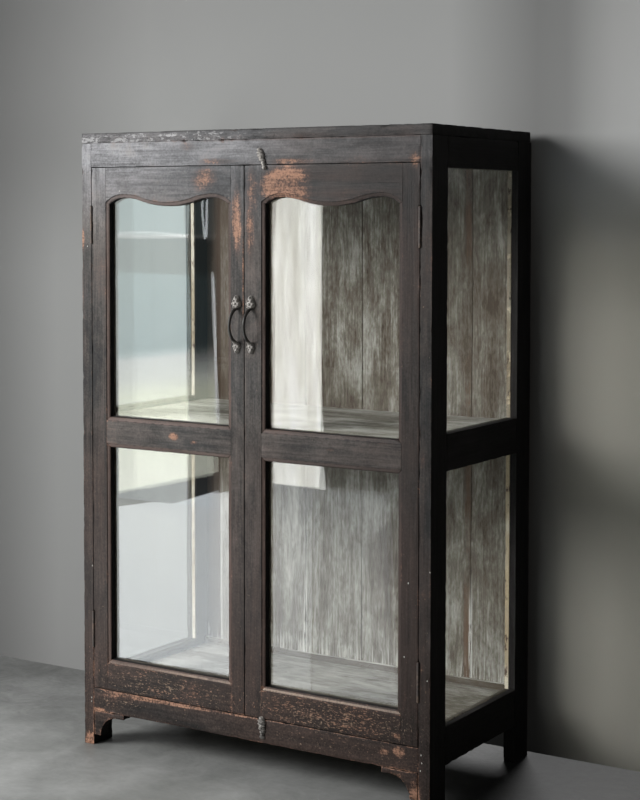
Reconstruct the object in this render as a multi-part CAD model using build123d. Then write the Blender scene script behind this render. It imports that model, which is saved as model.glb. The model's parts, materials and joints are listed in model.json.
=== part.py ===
from build123d import *
import os
from math import cos, hypot, pi, radians, sin

# Glass display cabinet. A dark painted carcass of four corner posts that run down to the floor,
# glazed sides, two glazed doors that lap at the middle, one shelf and a boarded back.
# Millimetres. X runs to the right, Y runs to the back, Z runs up.
# The origin is on the floor, half way across and half way from the pulls to the back.

# Overall size
WIDTH = 1000.0
DEPTH = 510.0
HEIGHT = 1550.0

# Carcass timbers
POST_WIDTH = 30.0
POST_DEPTH = 74.0
TOP_THICKNESS = 25.0
TOP_SETBACK = 5.0
RAIL_THICKNESS = 28.0
FRIEZE_HEIGHT = 60.0
BASE_RAIL_HEIGHT = 58.0
BASE_RAIL_UNDERSIDE = 89.0
REAR_RAIL_THICKNESS = 20.0
REAR_TOP_RAIL_HEIGHT = 50.0

# Side frames
SIDE_TOP_RAIL = 71.0
SIDE_MIDDLE_RAIL = 86.0
SIDE_MIDDLE_LEVEL = 810.0
SIDE_BOTTOM_RAIL_HEIGHT = 90.0
SIDE_RAIL_UNDERSIDE = 92.0
SIDE_LIP = 16.0

# Glass and the beads that hold it
GLASS_THICKNESS = 3.0
REBATE = 8.0
GLASS_FIT = 0.8

# Joints between timbers
TENON_LENGTH = 18.0
TENON_THICKNESS = 9.0
TENON_SHOULDER = 10.0
DOOR_TENON_LENGTH = 24.0
DOOR_TENON_SETBACK = 8.0
JOINT_FIT = 0.2

# Back boards: the seams are measured from the middle of the back
BACK_THICKNESS = 12.0
BACK_SEAMS = (-310.0, -146.0, 28.0, 190.0, 346.0)
BACK_LAP = 8.0
BACK_LAP_FIT = 0.4
LEDGE_HEIGHT = 18.0
LEDGE_DEPTH = 12.0

# Shelf and floor
SHELF_TOP = 840.0
SHELF_THICKNESS = 22.0
SHELF_FRONT_BOARD = 240.5
FLOOR_TOP = 160.0
FLOOR_THICKNESS = 20.0
FLOOR_FRONT_BOARD = 204.5
BOARD_FIT = 0.5
CLEAT_WIDTH = 18.0
CLEAT_HEIGHT = 22.0

# Doors
DOOR_THICKNESS = 28.0
DOOR_GAP = 1.5
DOOR_LIP = 19.0
HINGE_STILE = 46.0
MEETING_STILE = 44.0
DOOR_TOP_RAIL = 86.0
DOOR_MIDDLE_RAIL = 57.5
DOOR_MIDDLE_LEVEL = 803.0
DOOR_BOTTOM_RAIL = 67.5
LAP_WIDTH = 10.0
LAP_DEPTH = 14.0
LAP_GAP = 1.5
LAP_FACE_GAP = 0.6

# Serpentine head of the upper panes: a shoulder in each corner, a peak near each side
# and a dip in the middle
PEAK_INSET = 55.0
PEAK_RISE = 20.5
PEAK_SHARE = 0.42

# Ovolo moulding worked on the inner edges of the door frames
MOULDING_WIDTH = 10.0
MOULDING_QUIRK = 1.8
MOULDING_FALL = 3.4
MOULDING_FACETS = 3

# Bracket feet under the base rail
FOOT_LENGTH = 96.0
FOOT_END_HEIGHT = 12.5
FOOT_FLAT = 22.0
FOOT_TOE_WIDTH = 22.0
FOOT_TOE_CLEARANCE = 26.0
FOOT_GAP = 1.5

# Butt hinges
HINGE_LENGTH = 89.0
HINGE_BELOW_TOP = 98.0
HINGE_ABOVE_BOTTOM = 104.0
LEAF_THICKNESS = 2.0
LEAF_WIDTH = 24.0
LEAF_FIT = 0.1
KNUCKLE_RADIUS = 3.0
KNUCKLE_COUNT = 3
KNUCKLE_GAP = 0.3
KNUCKLE_ROOM = 0.5
PIN_RADIUS = 1.5
PIN_FIT = 0.05
PIN_PROUD = 1.0
PIN_HEAD_RADIUS = 2.4
PIN_HEAD_HEIGHT = 1.6

# Arched iron pulls, one on each meeting stile
PULL_MIDDLE_LEVEL = 1084.0
PULL_INSET = 20.5
PULL_SPAN = 84.0
PULL_REACH = 36.0
PULL_ROD_RADIUS = 2.6
PULL_ROD_SIDES = 12
UPPER_PLATE_LENGTH = 33.0
UPPER_PLATE_WIDTH = 26.0
LOWER_PLATE_LENGTH = 27.0
LOWER_PLATE_WIDTH = 21.0
PLATE_FLATTENING = 0.45
PLATE_RIB = 1.3
# Each rib's end, as shares of the plate's length and half width, and its bulge in ribs
PLATE_STATIONS = (
    (1.0, 0.0, 1.0),
    (0.70, 0.62, 1.0),
    (0.38, 0.93, 1.0),
    (0.06, 0.80, 0.5),
    (0.0, 0.55, 0.0),
)

# Facets round the castings, and round the knuckles, pins and screws
CASTING_SIDES = 20
PIN_SIDES = 12

# Cast turn buttons that hold the doors shut, and their screws
BUTTON_HEAD = 24.0
BUTTON_TAIL = 30.0
BUTTON_WIDTH = 22.0
BUTTON_NECK = 9.0
BUTTON_FOOT_WIDTH = 12.0
BUTTON_SINK = 2.0
BUTTON_RIB = 1.1
# Ribs of the head, as shares of the head's length and half width
HEAD_STATIONS = ((1.0, 0.0), (0.72, 0.62), (0.36, 0.92), (-0.04, 0.90))
# Waist, neck and foot, as shares of the tail's length
WAIST_SHARE = 0.30
WAIST_WIDTH = 13.6
NECK_SHARE = 0.62
FOOT_SHARE = 0.80
BUTTON_STANDOFF = 0.5
BUTTON_OFFSET = 46.0
TOP_BUTTON_RISE = 17.0
TOP_BUTTON_TILT = -18.0
BOTTOM_BUTTON_DROP = 17.5
BOTTOM_BUTTON_TILT = 0.0
SCREW_RADIUS = 2.0
SCREW_FIT = 0.05
SCREW_LENGTH = 18.0
SCREW_HEAD_RADIUS = 3.8
SCREW_HEAD_HEIGHT = 2.4
SCREW_CROWN_RADIUS = 1.8
SCREW_RIM_HEIGHT = 1.0
SCREW_HEAD_SEAT = 5.5
SCREW_HEAD_FIT = 0.3

# How far a cutter runs past the face that it leaves through
OVERCUT = 5.0

# Places worked out from the sizes above
FRONT = (PULL_REACH - DEPTH) / 2
REAR = FRONT + DEPTH
HALF = WIDTH / 2
INNER = HALF - POST_WIDTH
TOP_UNDERSIDE = HEIGHT - TOP_THICKNESS
FRIEZE_UNDERSIDE = TOP_UNDERSIDE - FRIEZE_HEIGHT
BASE_RAIL_TOP = BASE_RAIL_UNDERSIDE + BASE_RAIL_HEIGHT
RAIL_BACK = FRONT + RAIL_THICKNESS
SIDE_FRONT = FRONT + POST_DEPTH
SIDE_REAR = REAR - POST_DEPTH
BACK_REAR = REAR - TOP_SETBACK
BACK_FRONT = BACK_REAR - BACK_THICKNESS
FLOOR_UNDERSIDE = FLOOR_TOP - FLOOR_THICKNESS
SHELF_UNDERSIDE = SHELF_TOP - SHELF_THICKNESS
DOOR_LOW = BASE_RAIL_TOP + DOOR_GAP
DOOR_HIGH = FRIEZE_UNDERSIDE - DOOR_GAP
DOOR_EDGE = INNER - DOOR_GAP
DOOR_BACK = FRONT + DOOR_THICKNESS
BOARD_FRONT = max(DOOR_BACK, RAIL_BACK) + BOARD_FIT
HINGE_LINE = INNER - HINGE_STILE
GLASS_HEIGHTS_SIDE = (
    (SIDE_RAIL_UNDERSIDE + SIDE_BOTTOM_RAIL_HEIGHT, SIDE_MIDDLE_LEVEL - SIDE_MIDDLE_RAIL / 2),
    (SIDE_MIDDLE_LEVEL + SIDE_MIDDLE_RAIL / 2, TOP_UNDERSIDE - SIDE_TOP_RAIL),
)
LOWER_PANE = (DOOR_LOW + DOOR_BOTTOM_RAIL, DOOR_MIDDLE_LEVEL - DOOR_MIDDLE_RAIL / 2)
UPPER_PANE = (DOOR_MIDDLE_LEVEL + DOOR_MIDDLE_RAIL / 2, DOOR_HIGH - DOOR_TOP_RAIL)
PANE_HALF = (HINGE_LINE - MEETING_STILE) / 2
PANE_MIDDLE = (HINGE_LINE + MEETING_STILE) / 2
PIN_X = INNER - DOOR_GAP / 2
PIN_Y = FRONT - PIN_PROUD
HINGE_LEVELS = (DOOR_LOW + HINGE_ABOVE_BOTTOM, DOOR_HIGH - HINGE_BELOW_TOP - HINGE_LENGTH)


def block(xs, ys, zs):
    """Square timber between the given limits along each axis."""
    spans = (xs, ys, zs)
    size = [high - low for low, high in spans]
    middle = [(high + low) / 2 for low, high in spans]
    return Pos(*middle) * Box(*size)


def grown(span, by):
    """The span with both ends moved outwards."""
    low, high = span
    return (low - by, high + by)


def around(middle, width):
    """The span of the given width about its middle."""
    return (middle - width / 2, middle + width / 2)


def front_plane(y):
    """Drawing plane parallel to the front, with its normal towards the viewer."""
    return Plane(origin=(0, y, 0), x_dir=(1, 0, 0), z_dir=(0, -1, 0))


def side_plane(x):
    """Drawing plane parallel to the sides, with its normal to the right."""
    return Plane(origin=(x, 0, 0), x_dir=(0, 1, 0), z_dir=(1, 0, 0))


def prism(plane, face, height):
    """The flat face laid in the plane and drawn out along the plane's normal."""
    return extrude(plane * face, amount=height, dir=plane.z_dir)


def mitred_ring(plane, us, vs, width, thickness):
    """Four mitred strips around the opening us by vs, in the plane and up from it."""
    inner = [(us[0], vs[0]), (us[1], vs[0]), (us[1], vs[1]), (us[0], vs[1])]
    wide_us, wide_vs = grown(us, width), grown(vs, width)
    outer = [
        (wide_us[0], wide_vs[0]),
        (wide_us[1], wide_vs[0]),
        (wide_us[1], wide_vs[1]),
        (wide_us[0], wide_vs[1]),
    ]
    strips = []
    for i in range(4):
        j = (i + 1) % 4
        strip = Polygon(outer[i], outer[j], inner[j], inner[i], align=None)
        strips.append(prism(plane, strip, thickness))
    return strips


def faceted(rings, sides):
    """Upright solid with flat facets, through rings that are each a radius and a height."""
    turns = [2 * pi * i / sides for i in range(sides)]
    outlines = [
        [Vector(radius * cos(turn), radius * sin(turn), height) for turn in turns]
        for radius, height in rings
    ]
    corners = [outlines[0], outlines[-1]]
    for lower, upper in zip(outlines, outlines[1:]):
        for i in range(sides):
            j = (i + 1) % sides
            corners.append([lower[i], lower[j], upper[j], upper[i]])
    return Solid(Shell([Face(Wire.make_polygon(points)) for points in corners]))


def half_turned(stations, sink):
    """Ribbed casting with a flat back, faceted about an upright axis behind its back.

    Each station is its height, the half width of the back there, and the crest of the next rib.
    """
    rounds = [(hypot(half, sink), height, crest) for height, half, crest in stations]
    rings = []
    for (r0, z0, crest), (r1, z1, _) in zip(rounds, rounds[1:]):
        run = Vector(r1 - r0, z1 - z0)
        outward = Vector(-run.Y, run.X).normalized()
        ridge = Vector((r0 + r1) / 2, (z0 + z1) / 2) + outward * crest
        rings += [(r0, z0), (ridge.X, ridge.Y)]
    (_, top, _), (bottom_radius, bottom, _) = rounds[0], rounds[-1]
    rings.append((bottom_radius, bottom))
    reach = 2 * max(radius for radius, _, _ in rounds)
    behind = block((-reach, reach), (0, reach), grown((bottom, top), reach))
    return Pos(0, sink, 0) * faceted(rings[::-1], CASTING_SIDES) - behind


def cross_tenons(ys, zs):
    """Tenons at both ends of a rail that runs across the cabinet."""
    thickness = around(sum(ys) / 2, TENON_THICKNESS)
    height = grown(zs, -TENON_SHOULDER)
    left = (-INNER - TENON_LENGTH, -INNER)
    right = (INNER, INNER + TENON_LENGTH)
    return [(left, thickness, height), (right, thickness, height)]


def side_tenons(zs):
    """Tenons at both ends of a rail of the right side frame."""
    thickness = around(HALF - SIDE_LIP / 2, TENON_THICKNESS)
    height = grown(zs, -TENON_SHOULDER)
    front = (SIDE_FRONT - TENON_LENGTH, SIDE_FRONT)
    rear = (SIDE_REAR, SIDE_REAR + TENON_LENGTH)
    return [(thickness, front, height), (thickness, rear, height)]


def with_tenons(rail, tenons):
    for spans in tenons:
        rail += block(*spans)
    return rail


def mortised(timber, tenons):
    """Cuts the mortises that take the given tenons."""
    for spans in tenons:
        timber -= block(*[grown(span, JOINT_FIT) for span in spans])
    return timber


FRONT_RAIL_DEPTHS = (FRONT, RAIL_BACK)
REAR_RAIL_DEPTHS = (BACK_FRONT - REAR_RAIL_THICKNESS, BACK_FRONT)
CROSS_RAILS = {
    "frieze_rail": (FRONT_RAIL_DEPTHS, (FRIEZE_UNDERSIDE, TOP_UNDERSIDE)),
    "front_bottom_rail": (FRONT_RAIL_DEPTHS, (BASE_RAIL_UNDERSIDE, BASE_RAIL_TOP)),
    "rear_top_rail": (REAR_RAIL_DEPTHS, (TOP_UNDERSIDE - REAR_TOP_RAIL_HEIGHT, TOP_UNDERSIDE)),
    "rear_bottom_rail": (REAR_RAIL_DEPTHS, (SIDE_RAIL_UNDERSIDE, FLOOR_UNDERSIDE)),
}
SIDE_RAILS = {
    "top": (GLASS_HEIGHTS_SIDE[1][1], TOP_UNDERSIDE),
    "middle": (GLASS_HEIGHTS_SIDE[0][1], GLASS_HEIGHTS_SIDE[1][0]),
    "bottom": (SIDE_RAIL_UNDERSIDE, GLASS_HEIGHTS_SIDE[0][0]),
}


def side_rebates():
    """Room for the glass and its beads on the inside of the right side frame."""
    xs = (INNER - OVERCUT, HALF - SIDE_LIP)
    ys = grown((SIDE_FRONT, SIDE_REAR), REBATE)
    return [block(xs, ys, grown(zs, REBATE)) for zs in GLASS_HEIGHTS_SIDE]


def right_side_rails():
    rails = {}
    for level, zs in SIDE_RAILS.items():
        rail = block((INNER, HALF), (SIDE_FRONT, SIDE_REAR), zs)
        for rebate in side_rebates():
            rail -= rebate
        rails[level] = with_tenons(rail, side_tenons(zs))
    return rails


def right_post(ys):
    """Corner post of the right side, with its mortises and glass rebates."""
    post = block((INNER, HALF), ys, (0, TOP_UNDERSIDE))
    for depths, heights in CROSS_RAILS.values():
        post = mortised(post, cross_tenons(depths, heights))
    for heights in SIDE_RAILS.values():
        post = mortised(post, side_tenons(heights))
    for rebate in side_rebates():
        post -= rebate
    return post


def right_side_glass():
    xs = (HALF - SIDE_LIP - GLASS_THICKNESS, HALF - SIDE_LIP)
    by = REBATE - GLASS_FIT
    ys = grown((SIDE_FRONT, SIDE_REAR), by)
    return [block(xs, ys, grown(zs, by)) for zs in GLASS_HEIGHTS_SIDE]


def right_side_beads():
    thickness = HALF - SIDE_LIP - GLASS_THICKNESS - INNER
    strips = []
    for zs in GLASS_HEIGHTS_SIDE:
        strips += mitred_ring(side_plane(INNER), (SIDE_FRONT, SIDE_REAR), zs, REBATE, thickness)
    return strips


def back_boards():
    """Lapped upright boards of uneven widths, each lapping over the next one to its right."""
    edges = (-INNER,) + BACK_SEAMS + (INNER,)
    zs = (BASE_RAIL_UNDERSIDE, TOP_UNDERSIDE)
    half_way = (BACK_FRONT + BACK_REAR) / 2
    boards = []
    for i, (left, right) in enumerate(zip(edges, edges[1:])):
        first, last = i == 0, i == len(edges) - 2
        front_left = left if first else left + BACK_LAP_FIT
        rear_left = left if first else left + BACK_LAP + BACK_LAP_FIT
        rear_right = right if last else right + BACK_LAP
        board = block((front_left, right), (BACK_FRONT, half_way), zs)
        board += block((rear_left, rear_right), (half_way, BACK_REAR), zs)
        boards.append(board)
    return boards


def laid_boards(front_width, zs):
    """Two boards that lie side by side behind the doors, the front one of the given width."""
    xs = (-INNER + BOARD_FIT, INNER - BOARD_FIT)
    seam = BOARD_FRONT + front_width
    front_board = block(xs, (BOARD_FRONT, seam), zs)
    rear_board = block(xs, (seam, BACK_FRONT), zs)
    return front_board, rear_board


def side_cleats():
    """Battens screwed to the side frames, one pair under the shelf and one under the floor."""
    xs = (INNER - CLEAT_WIDTH, INNER)
    cleats = []
    for top, depths in (
        (SHELF_UNDERSIDE, (SIDE_FRONT, BACK_FRONT)),
        (FLOOR_UNDERSIDE, (RAIL_BACK, REAR_RAIL_DEPTHS[0])),
    ):
        cleat = block(xs, depths, (top - CLEAT_HEIGHT, top))
        cleats += [cleat, mirror(cleat, about=Plane.YZ)]
    return cleats


def right_bracket_foot():
    """Bracket under the base rail: square end, quarter sweep and a toe beside the post."""
    top = BASE_RAIL_UNDERSIDE
    shelf = top - FOOT_END_HEIGHT
    post_side = INNER - FOOT_GAP
    end = INNER - FOOT_LENGTH
    sweep_start = end + FOOT_FLAT
    toe = INNER - FOOT_TOE_WIDTH
    toe_level = FOOT_TOE_CLEARANCE
    half_way = sin(pi / 4)
    middle = (
        sweep_start + (toe - sweep_start) * half_way,
        toe_level + (shelf - toe_level) * half_way,
    )
    outline = [
        Line((post_side, top), (end, top)),
        Line((end, top), (end, shelf)),
        Line((end, shelf), (sweep_start, shelf)),
        ThreePointArc((sweep_start, shelf), middle, (toe, toe_level)),
        Line((toe, toe_level), (post_side, toe_level)),
        Line((post_side, toe_level), (post_side, top)),
    ]
    return prism(front_plane(RAIL_BACK), make_face(outline), RAIL_THICKNESS)


def pane_face(heights, arched):
    """Outer line of the moulding around a door pane, drawn about the pane's middle."""
    low, high = heights
    if not arched:
        return Polygon(
            (-PANE_HALF, low), (PANE_HALF, low), (PANE_HALF, high), (-PANE_HALF, high), align=None
        ).face()
    run = PANE_HALF - PEAK_INSET
    corner = (PANE_HALF, high)
    peak = (run, high + PEAK_RISE)
    turning = (run * (1 - PEAK_SHARE), high + PEAK_RISE * (1 - PEAK_SHARE))
    right_half = [
        Line((0, low), (PANE_HALF, low)),
        Line((PANE_HALF, low), corner),
        TangentArc(peak, corner, tangent=(1, 0)),
        TangentArc(peak, turning, tangent=(-1, 0)),
        TangentArc((0, high), turning, tangent=(1, 0)),
    ]
    left_half = [mirror(edge, about=Plane.YZ) for edge in right_half]
    return make_face(right_half + left_half).face()


def narrowed(face, inset):
    """The pane outline moved inwards, with its corners kept sharp."""
    if inset == 0:
        return face
    return offset(face, amount=-inset, kind=Kind.INTERSECTION).face()


def moulding_cutter(face):
    """What the ovolo plane takes off around a pane: a small step, then a rounded fall."""
    cutter = prism(front_plane(FRONT + MOULDING_QUIRK), face, MOULDING_QUIRK + OVERCUT)
    levels = []
    for i in range(MOULDING_FACETS + 1):
        turn = radians(90 * i / MOULDING_FACETS)
        inset = MOULDING_WIDTH * sin(turn)
        fall = MOULDING_QUIRK + MOULDING_FALL * (1 - cos(turn))
        levels.append(front_plane(FRONT + fall) * narrowed(face, inset))
    for upper, lower in zip(levels, levels[1:]):
        cutter += loft([upper, lower], ruled=True)
    return cutter


PANES = {
    "lower": (pane_face(LOWER_PANE, False), LOWER_PANE),
    "upper": (pane_face(UPPER_PANE, True), UPPER_PANE),
}
SIGHTS = {name: narrowed(face, MOULDING_WIDTH) for name, (face, _) in PANES.items()}


def sight_spans(name, side):
    """Width and height of the clear opening of a door pane, to its highest point."""
    box = SIGHTS[name].bounding_box()
    middle = side * PANE_MIDDLE
    return (middle + box.min.X, middle + box.max.X), (box.min.Y, box.max.Y)


def door_blank(side):
    """The door as one plate, with the lapped meeting edge and all three rails' openings cut."""
    hinge_edge = side * DOOR_EDGE
    front_edge = -LAP_WIDTH / 2 + side * LAP_GAP / 2
    rear_edge = LAP_WIDTH / 2 + side * LAP_GAP / 2
    lap_back = FRONT + LAP_DEPTH
    if side < 0:
        lap_back += LAP_FACE_GAP
    zs = (DOOR_LOW, DOOR_HIGH)
    blank = block(sorted((hinge_edge, front_edge)), (FRONT, lap_back), zs)
    blank += block(sorted((hinge_edge, rear_edge)), (lap_back, DOOR_BACK), zs)
    place = Pos(side * PANE_MIDDLE, 0, 0)
    for name, (face, _) in PANES.items():
        blank -= place * moulding_cutter(face)
        through = DOOR_THICKNESS + 2 * OVERCUT
        blank -= place * prism(front_plane(DOOR_BACK + OVERCUT), SIGHTS[name], through)
        xs, zs = sight_spans(name, side)
        behind_lip = (FRONT + DOOR_LIP, DOOR_BACK + OVERCUT)
        blank -= block(grown(xs, REBATE), behind_lip, grown(zs, REBATE))
    return blank


def stile_region(line, far):
    """Room that a stile takes in the door blank: its face, and the mouldings to their mitres."""
    step = MOULDING_WIDTH if line < far else -MOULDING_WIDTH
    points = [(far, DOOR_LOW), (line, DOOR_LOW)]
    for name, (_, (low, high)) in PANES.items():
        corners = SIGHTS[name].vertices().sort_by(Axis.X)[-2:].sort_by(Axis.Y)
        points += [(line, low), (line - step, corners[0].Y)]
        points += [(line - step, corners[1].Y), (line, high)]
    points += [(line, DOOR_HIGH), (far, DOOR_HIGH)]
    region = Polygon(*points, align=None)
    through = DOOR_THICKNESS + 2 * OVERCUT
    return prism(front_plane(DOOR_BACK + OVERCUT), region, through)


def door_tenons(side):
    """Tenons of the three rails into the hinge stile and into the meeting stile."""
    ys = (FRONT + DOOR_TENON_SETBACK, FRONT + DOOR_TENON_SETBACK + TENON_THICKNESS)
    heights = (
        (DOOR_LOW, LOWER_PANE[0]),
        (LOWER_PANE[1], UPPER_PANE[0]),
        (UPPER_PANE[1], DOOR_HIGH),
    )
    hinge_xs = sorted((side * HINGE_LINE, side * (HINGE_LINE + DOOR_TENON_LENGTH)))
    meeting_xs = sorted((side * MEETING_STILE, side * (MEETING_STILE - DOOR_TENON_LENGTH)))
    spans = [grown(zs, -TENON_SHOULDER) for zs in heights]
    return {
        "hinge": [(hinge_xs, ys, zs) for zs in spans],
        "meeting": [(meeting_xs, ys, zs) for zs in spans],
    }


def door_frame(side):
    """Two stiles and three rails, parted along the mitres of the moulding."""
    blank = door_blank(side)
    hinge_region = stile_region(side * HINGE_LINE, side * HALF)
    meeting_region = stile_region(side * MEETING_STILE, -side * MEETING_STILE)
    tenons = door_tenons(side)
    hinge_stile = mortised(blank & hinge_region, tenons["hinge"])
    meeting_stile = mortised(blank & meeting_region, tenons["meeting"])
    rails = (blank - hinge_region - meeting_region).solids().sort_by(Axis.Z)
    frame = {"hinge_stile": hinge_stile, "meeting_stile": meeting_stile}
    names = ("bottom_rail", "middle_rail", "top_rail")
    for name, rail, at_hinge, at_meeting in zip(names, rails, tenons["hinge"], tenons["meeting"]):
        frame[name] = with_tenons(rail, (at_hinge, at_meeting))
    for cutter in hinge_recesses():
        frame["hinge_stile"] -= on_side(cutter, side)
    return frame


def door_glass(name, side):
    xs, zs = sight_spans(name, side)
    by = REBATE - GLASS_FIT
    ys = (FRONT + DOOR_LIP, FRONT + DOOR_LIP + GLASS_THICKNESS)
    return block(grown(xs, by), ys, grown(zs, by))


def door_beads(side):
    """Mitred strips that press the glass against the lip, flush with the back of the door."""
    thickness = DOOR_THICKNESS - DOOR_LIP - GLASS_THICKNESS
    strips = []
    for name in PANES:
        xs, zs = sight_spans(name, side)
        strips += mitred_ring(front_plane(DOOR_BACK), xs, zs, REBATE, thickness)
    return strips


def on_side(shape, side):
    """The right-hand shape itself, or its mirror image for the left side."""
    return shape if side > 0 else mirror(shape, about=Plane.YZ)


def rod(radius, zs):
    """Upright bar between two levels, with flat facets."""
    return faceted([(radius, height) for height in zs], PIN_SIDES)


def bore(radius, zs):
    """Cutter for a hole whose flats clear a rod of the given radius, however it is turned."""
    return rod(radius / cos(pi / PIN_SIDES), zs)


def knuckle_spans(low):
    """Heights of the barrel's knuckles, with a small gap between neighbours."""
    pitch = HINGE_LENGTH / KNUCKLE_COUNT
    spans = [(low + i * pitch, low + (i + 1) * pitch) for i in range(KNUCKLE_COUNT)]
    return [grown(span, -KNUCKLE_GAP / 2) for span in spans]


def hinge_leaf(low, inner_x, outer_x, first):
    """One leaf of a right-hand hinge: a plate, and every second knuckle from the given one."""
    zs = (low, low + HINGE_LENGTH)
    leaf = block((inner_x, outer_x), (PIN_Y, FRONT + LEAF_WIDTH), zs)
    barrel = Pos(PIN_X, PIN_Y, 0)
    spans = knuckle_spans(low)
    for i, span in enumerate(spans):
        if i % 2 != first:
            leaf -= barrel * bore(KNUCKLE_RADIUS + KNUCKLE_GAP, grown(span, KNUCKLE_GAP))
    for span in spans[first::2]:
        leaf += barrel * rod(KNUCKLE_RADIUS, span)
    return leaf - barrel * bore(PIN_RADIUS + PIN_FIT, grown(zs, OVERCUT))


def post_leaf(low):
    return hinge_leaf(low, INNER, INNER + LEAF_THICKNESS, 0)


def door_leaf(low):
    return hinge_leaf(low, DOOR_EDGE - LEAF_THICKNESS, DOOR_EDGE, 1)


def hinge_pin(low):
    """Pin with a small button at each end that keeps it in the barrel."""
    high = low + HINGE_LENGTH
    pin = rod(PIN_RADIUS, (low, high))
    pin += rod(PIN_HEAD_RADIUS, (high, high + PIN_HEAD_HEIGHT))
    pin += rod(PIN_HEAD_RADIUS, (low - PIN_HEAD_HEIGHT, low))
    return Pos(PIN_X, PIN_Y, 0) * pin


def hinge_recesses():
    """Room for the right-hand leaves in post and door, and for the barrel between them."""
    xs = (DOOR_EDGE - LEAF_THICKNESS - LEAF_FIT, INNER + LEAF_THICKNESS + LEAF_FIT)
    ys = (FRONT - OVERCUT, FRONT + LEAF_WIDTH + LEAF_FIT)
    cutters = []
    for low in HINGE_LEVELS:
        zs = (low - LEAF_FIT, low + HINGE_LENGTH + LEAF_FIT)
        barrel = grown(zs, PIN_HEAD_HEIGHT + KNUCKLE_ROOM)
        cutters.append(block(xs, ys, zs))
        cutters.append(Pos(PIN_X, PIN_Y, 0) * bore(KNUCKLE_RADIUS + KNUCKLE_ROOM, barrel))
    return cutters


def pull_plate(length, width):
    """Ribbed end plate of a pull: pointed at the top, broad and flat at the bottom."""
    radius = width / 2
    ribs = [
        (length * along, radius * across, PLATE_RIB * bulge)
        for along, across, bulge in PLATE_STATIONS
    ]
    return half_turned(ribs, radius * PLATE_FLATTENING)


def pull(side):
    """Iron pull: a forged bow that springs from an upper and a lower end plate."""
    x = -LAP_WIDTH / 2 + side * PULL_INSET
    low, high = around(PULL_MIDDLE_LEVEL, PULL_SPAN)
    root = FRONT - PULL_ROD_RADIUS
    bow = ThreePointArc(
        (x, root, high), (x, FRONT - PULL_REACH + PULL_ROD_RADIUS, PULL_MIDDLE_LEVEL), (x, root, low)
    )
    section = Plane(origin=bow @ 0, z_dir=bow % 0) * RegularPolygon(PULL_ROD_RADIUS, PULL_ROD_SIDES)
    handle = sweep(section, path=bow)
    lap = PULL_ROD_RADIUS
    upper = pull_plate(UPPER_PLATE_LENGTH, UPPER_PLATE_WIDTH)
    lower = pull_plate(LOWER_PLATE_LENGTH, LOWER_PLATE_WIDTH)
    handle += Pos(x, FRONT, high - lap) * upper
    handle += Pos(x, FRONT, low + lap) * mirror(lower, about=Plane.XY)
    return handle


def turn_button(x, z, turned):
    """Cast button: ribbed head, narrow neck and a small foot that laps over the door."""
    radius = BUTTON_WIDTH / 2
    stations = [
        (BUTTON_HEAD * along, radius * across, BUTTON_RIB) for along, across in HEAD_STATIONS
    ]
    stations += [
        (-BUTTON_TAIL * WAIST_SHARE, WAIST_WIDTH / 2, -BUTTON_RIB / 2),
        (-BUTTON_TAIL * NECK_SHARE, BUTTON_NECK / 2, BUTTON_RIB / 2),
        (-BUTTON_TAIL * FOOT_SHARE, BUTTON_FOOT_WIDTH / 2, BUTTON_RIB),
        (-BUTTON_TAIL, BUTTON_FOOT_WIDTH / 4, 0.0),
    ]
    body = half_turned(stations, BUTTON_SINK)
    through = (-BUTTON_WIDTH, BUTTON_WIDTH)
    body -= Rot(90, 0, 0) * bore(SCREW_RADIUS + SCREW_FIT, through)
    seat = (SCREW_HEAD_SEAT, BUTTON_WIDTH)
    body -= Rot(90, 0, 0) * bore(SCREW_HEAD_RADIUS + SCREW_HEAD_FIT, seat)
    return Pos(x, FRONT - BUTTON_STANDOFF, z) * Rot(0, turned, 0) * body


def button_screw(x, z):
    """Screw with a raised head that the turn button swings on."""
    seat = BUTTON_STANDOFF + SCREW_HEAD_SEAT + SCREW_HEAD_FIT
    head = [
        (SCREW_HEAD_RADIUS, seat),
        (SCREW_HEAD_RADIUS, seat + SCREW_RIM_HEIGHT),
        (SCREW_CROWN_RADIUS, seat + SCREW_HEAD_HEIGHT),
    ]
    screw = rod(SCREW_RADIUS, (-SCREW_LENGTH, seat)) + faceted(head, PIN_SIDES)
    return Pos(x, FRONT, z) * Rot(90, 0, 0) * screw


def screw_pilot(x, z):
    """Hole in the rail behind a turn button."""
    depths = (-SCREW_LENGTH - SCREW_FIT, OVERCUT)
    return Pos(x, FRONT, z) * Rot(90, 0, 0) * bore(SCREW_RADIUS + SCREW_FIT, depths)


TOP_BUTTON_LEVEL = FRIEZE_UNDERSIDE + TOP_BUTTON_RISE
BOTTOM_BUTTON_LEVEL = BASE_RAIL_TOP - BOTTOM_BUTTON_DROP


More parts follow.
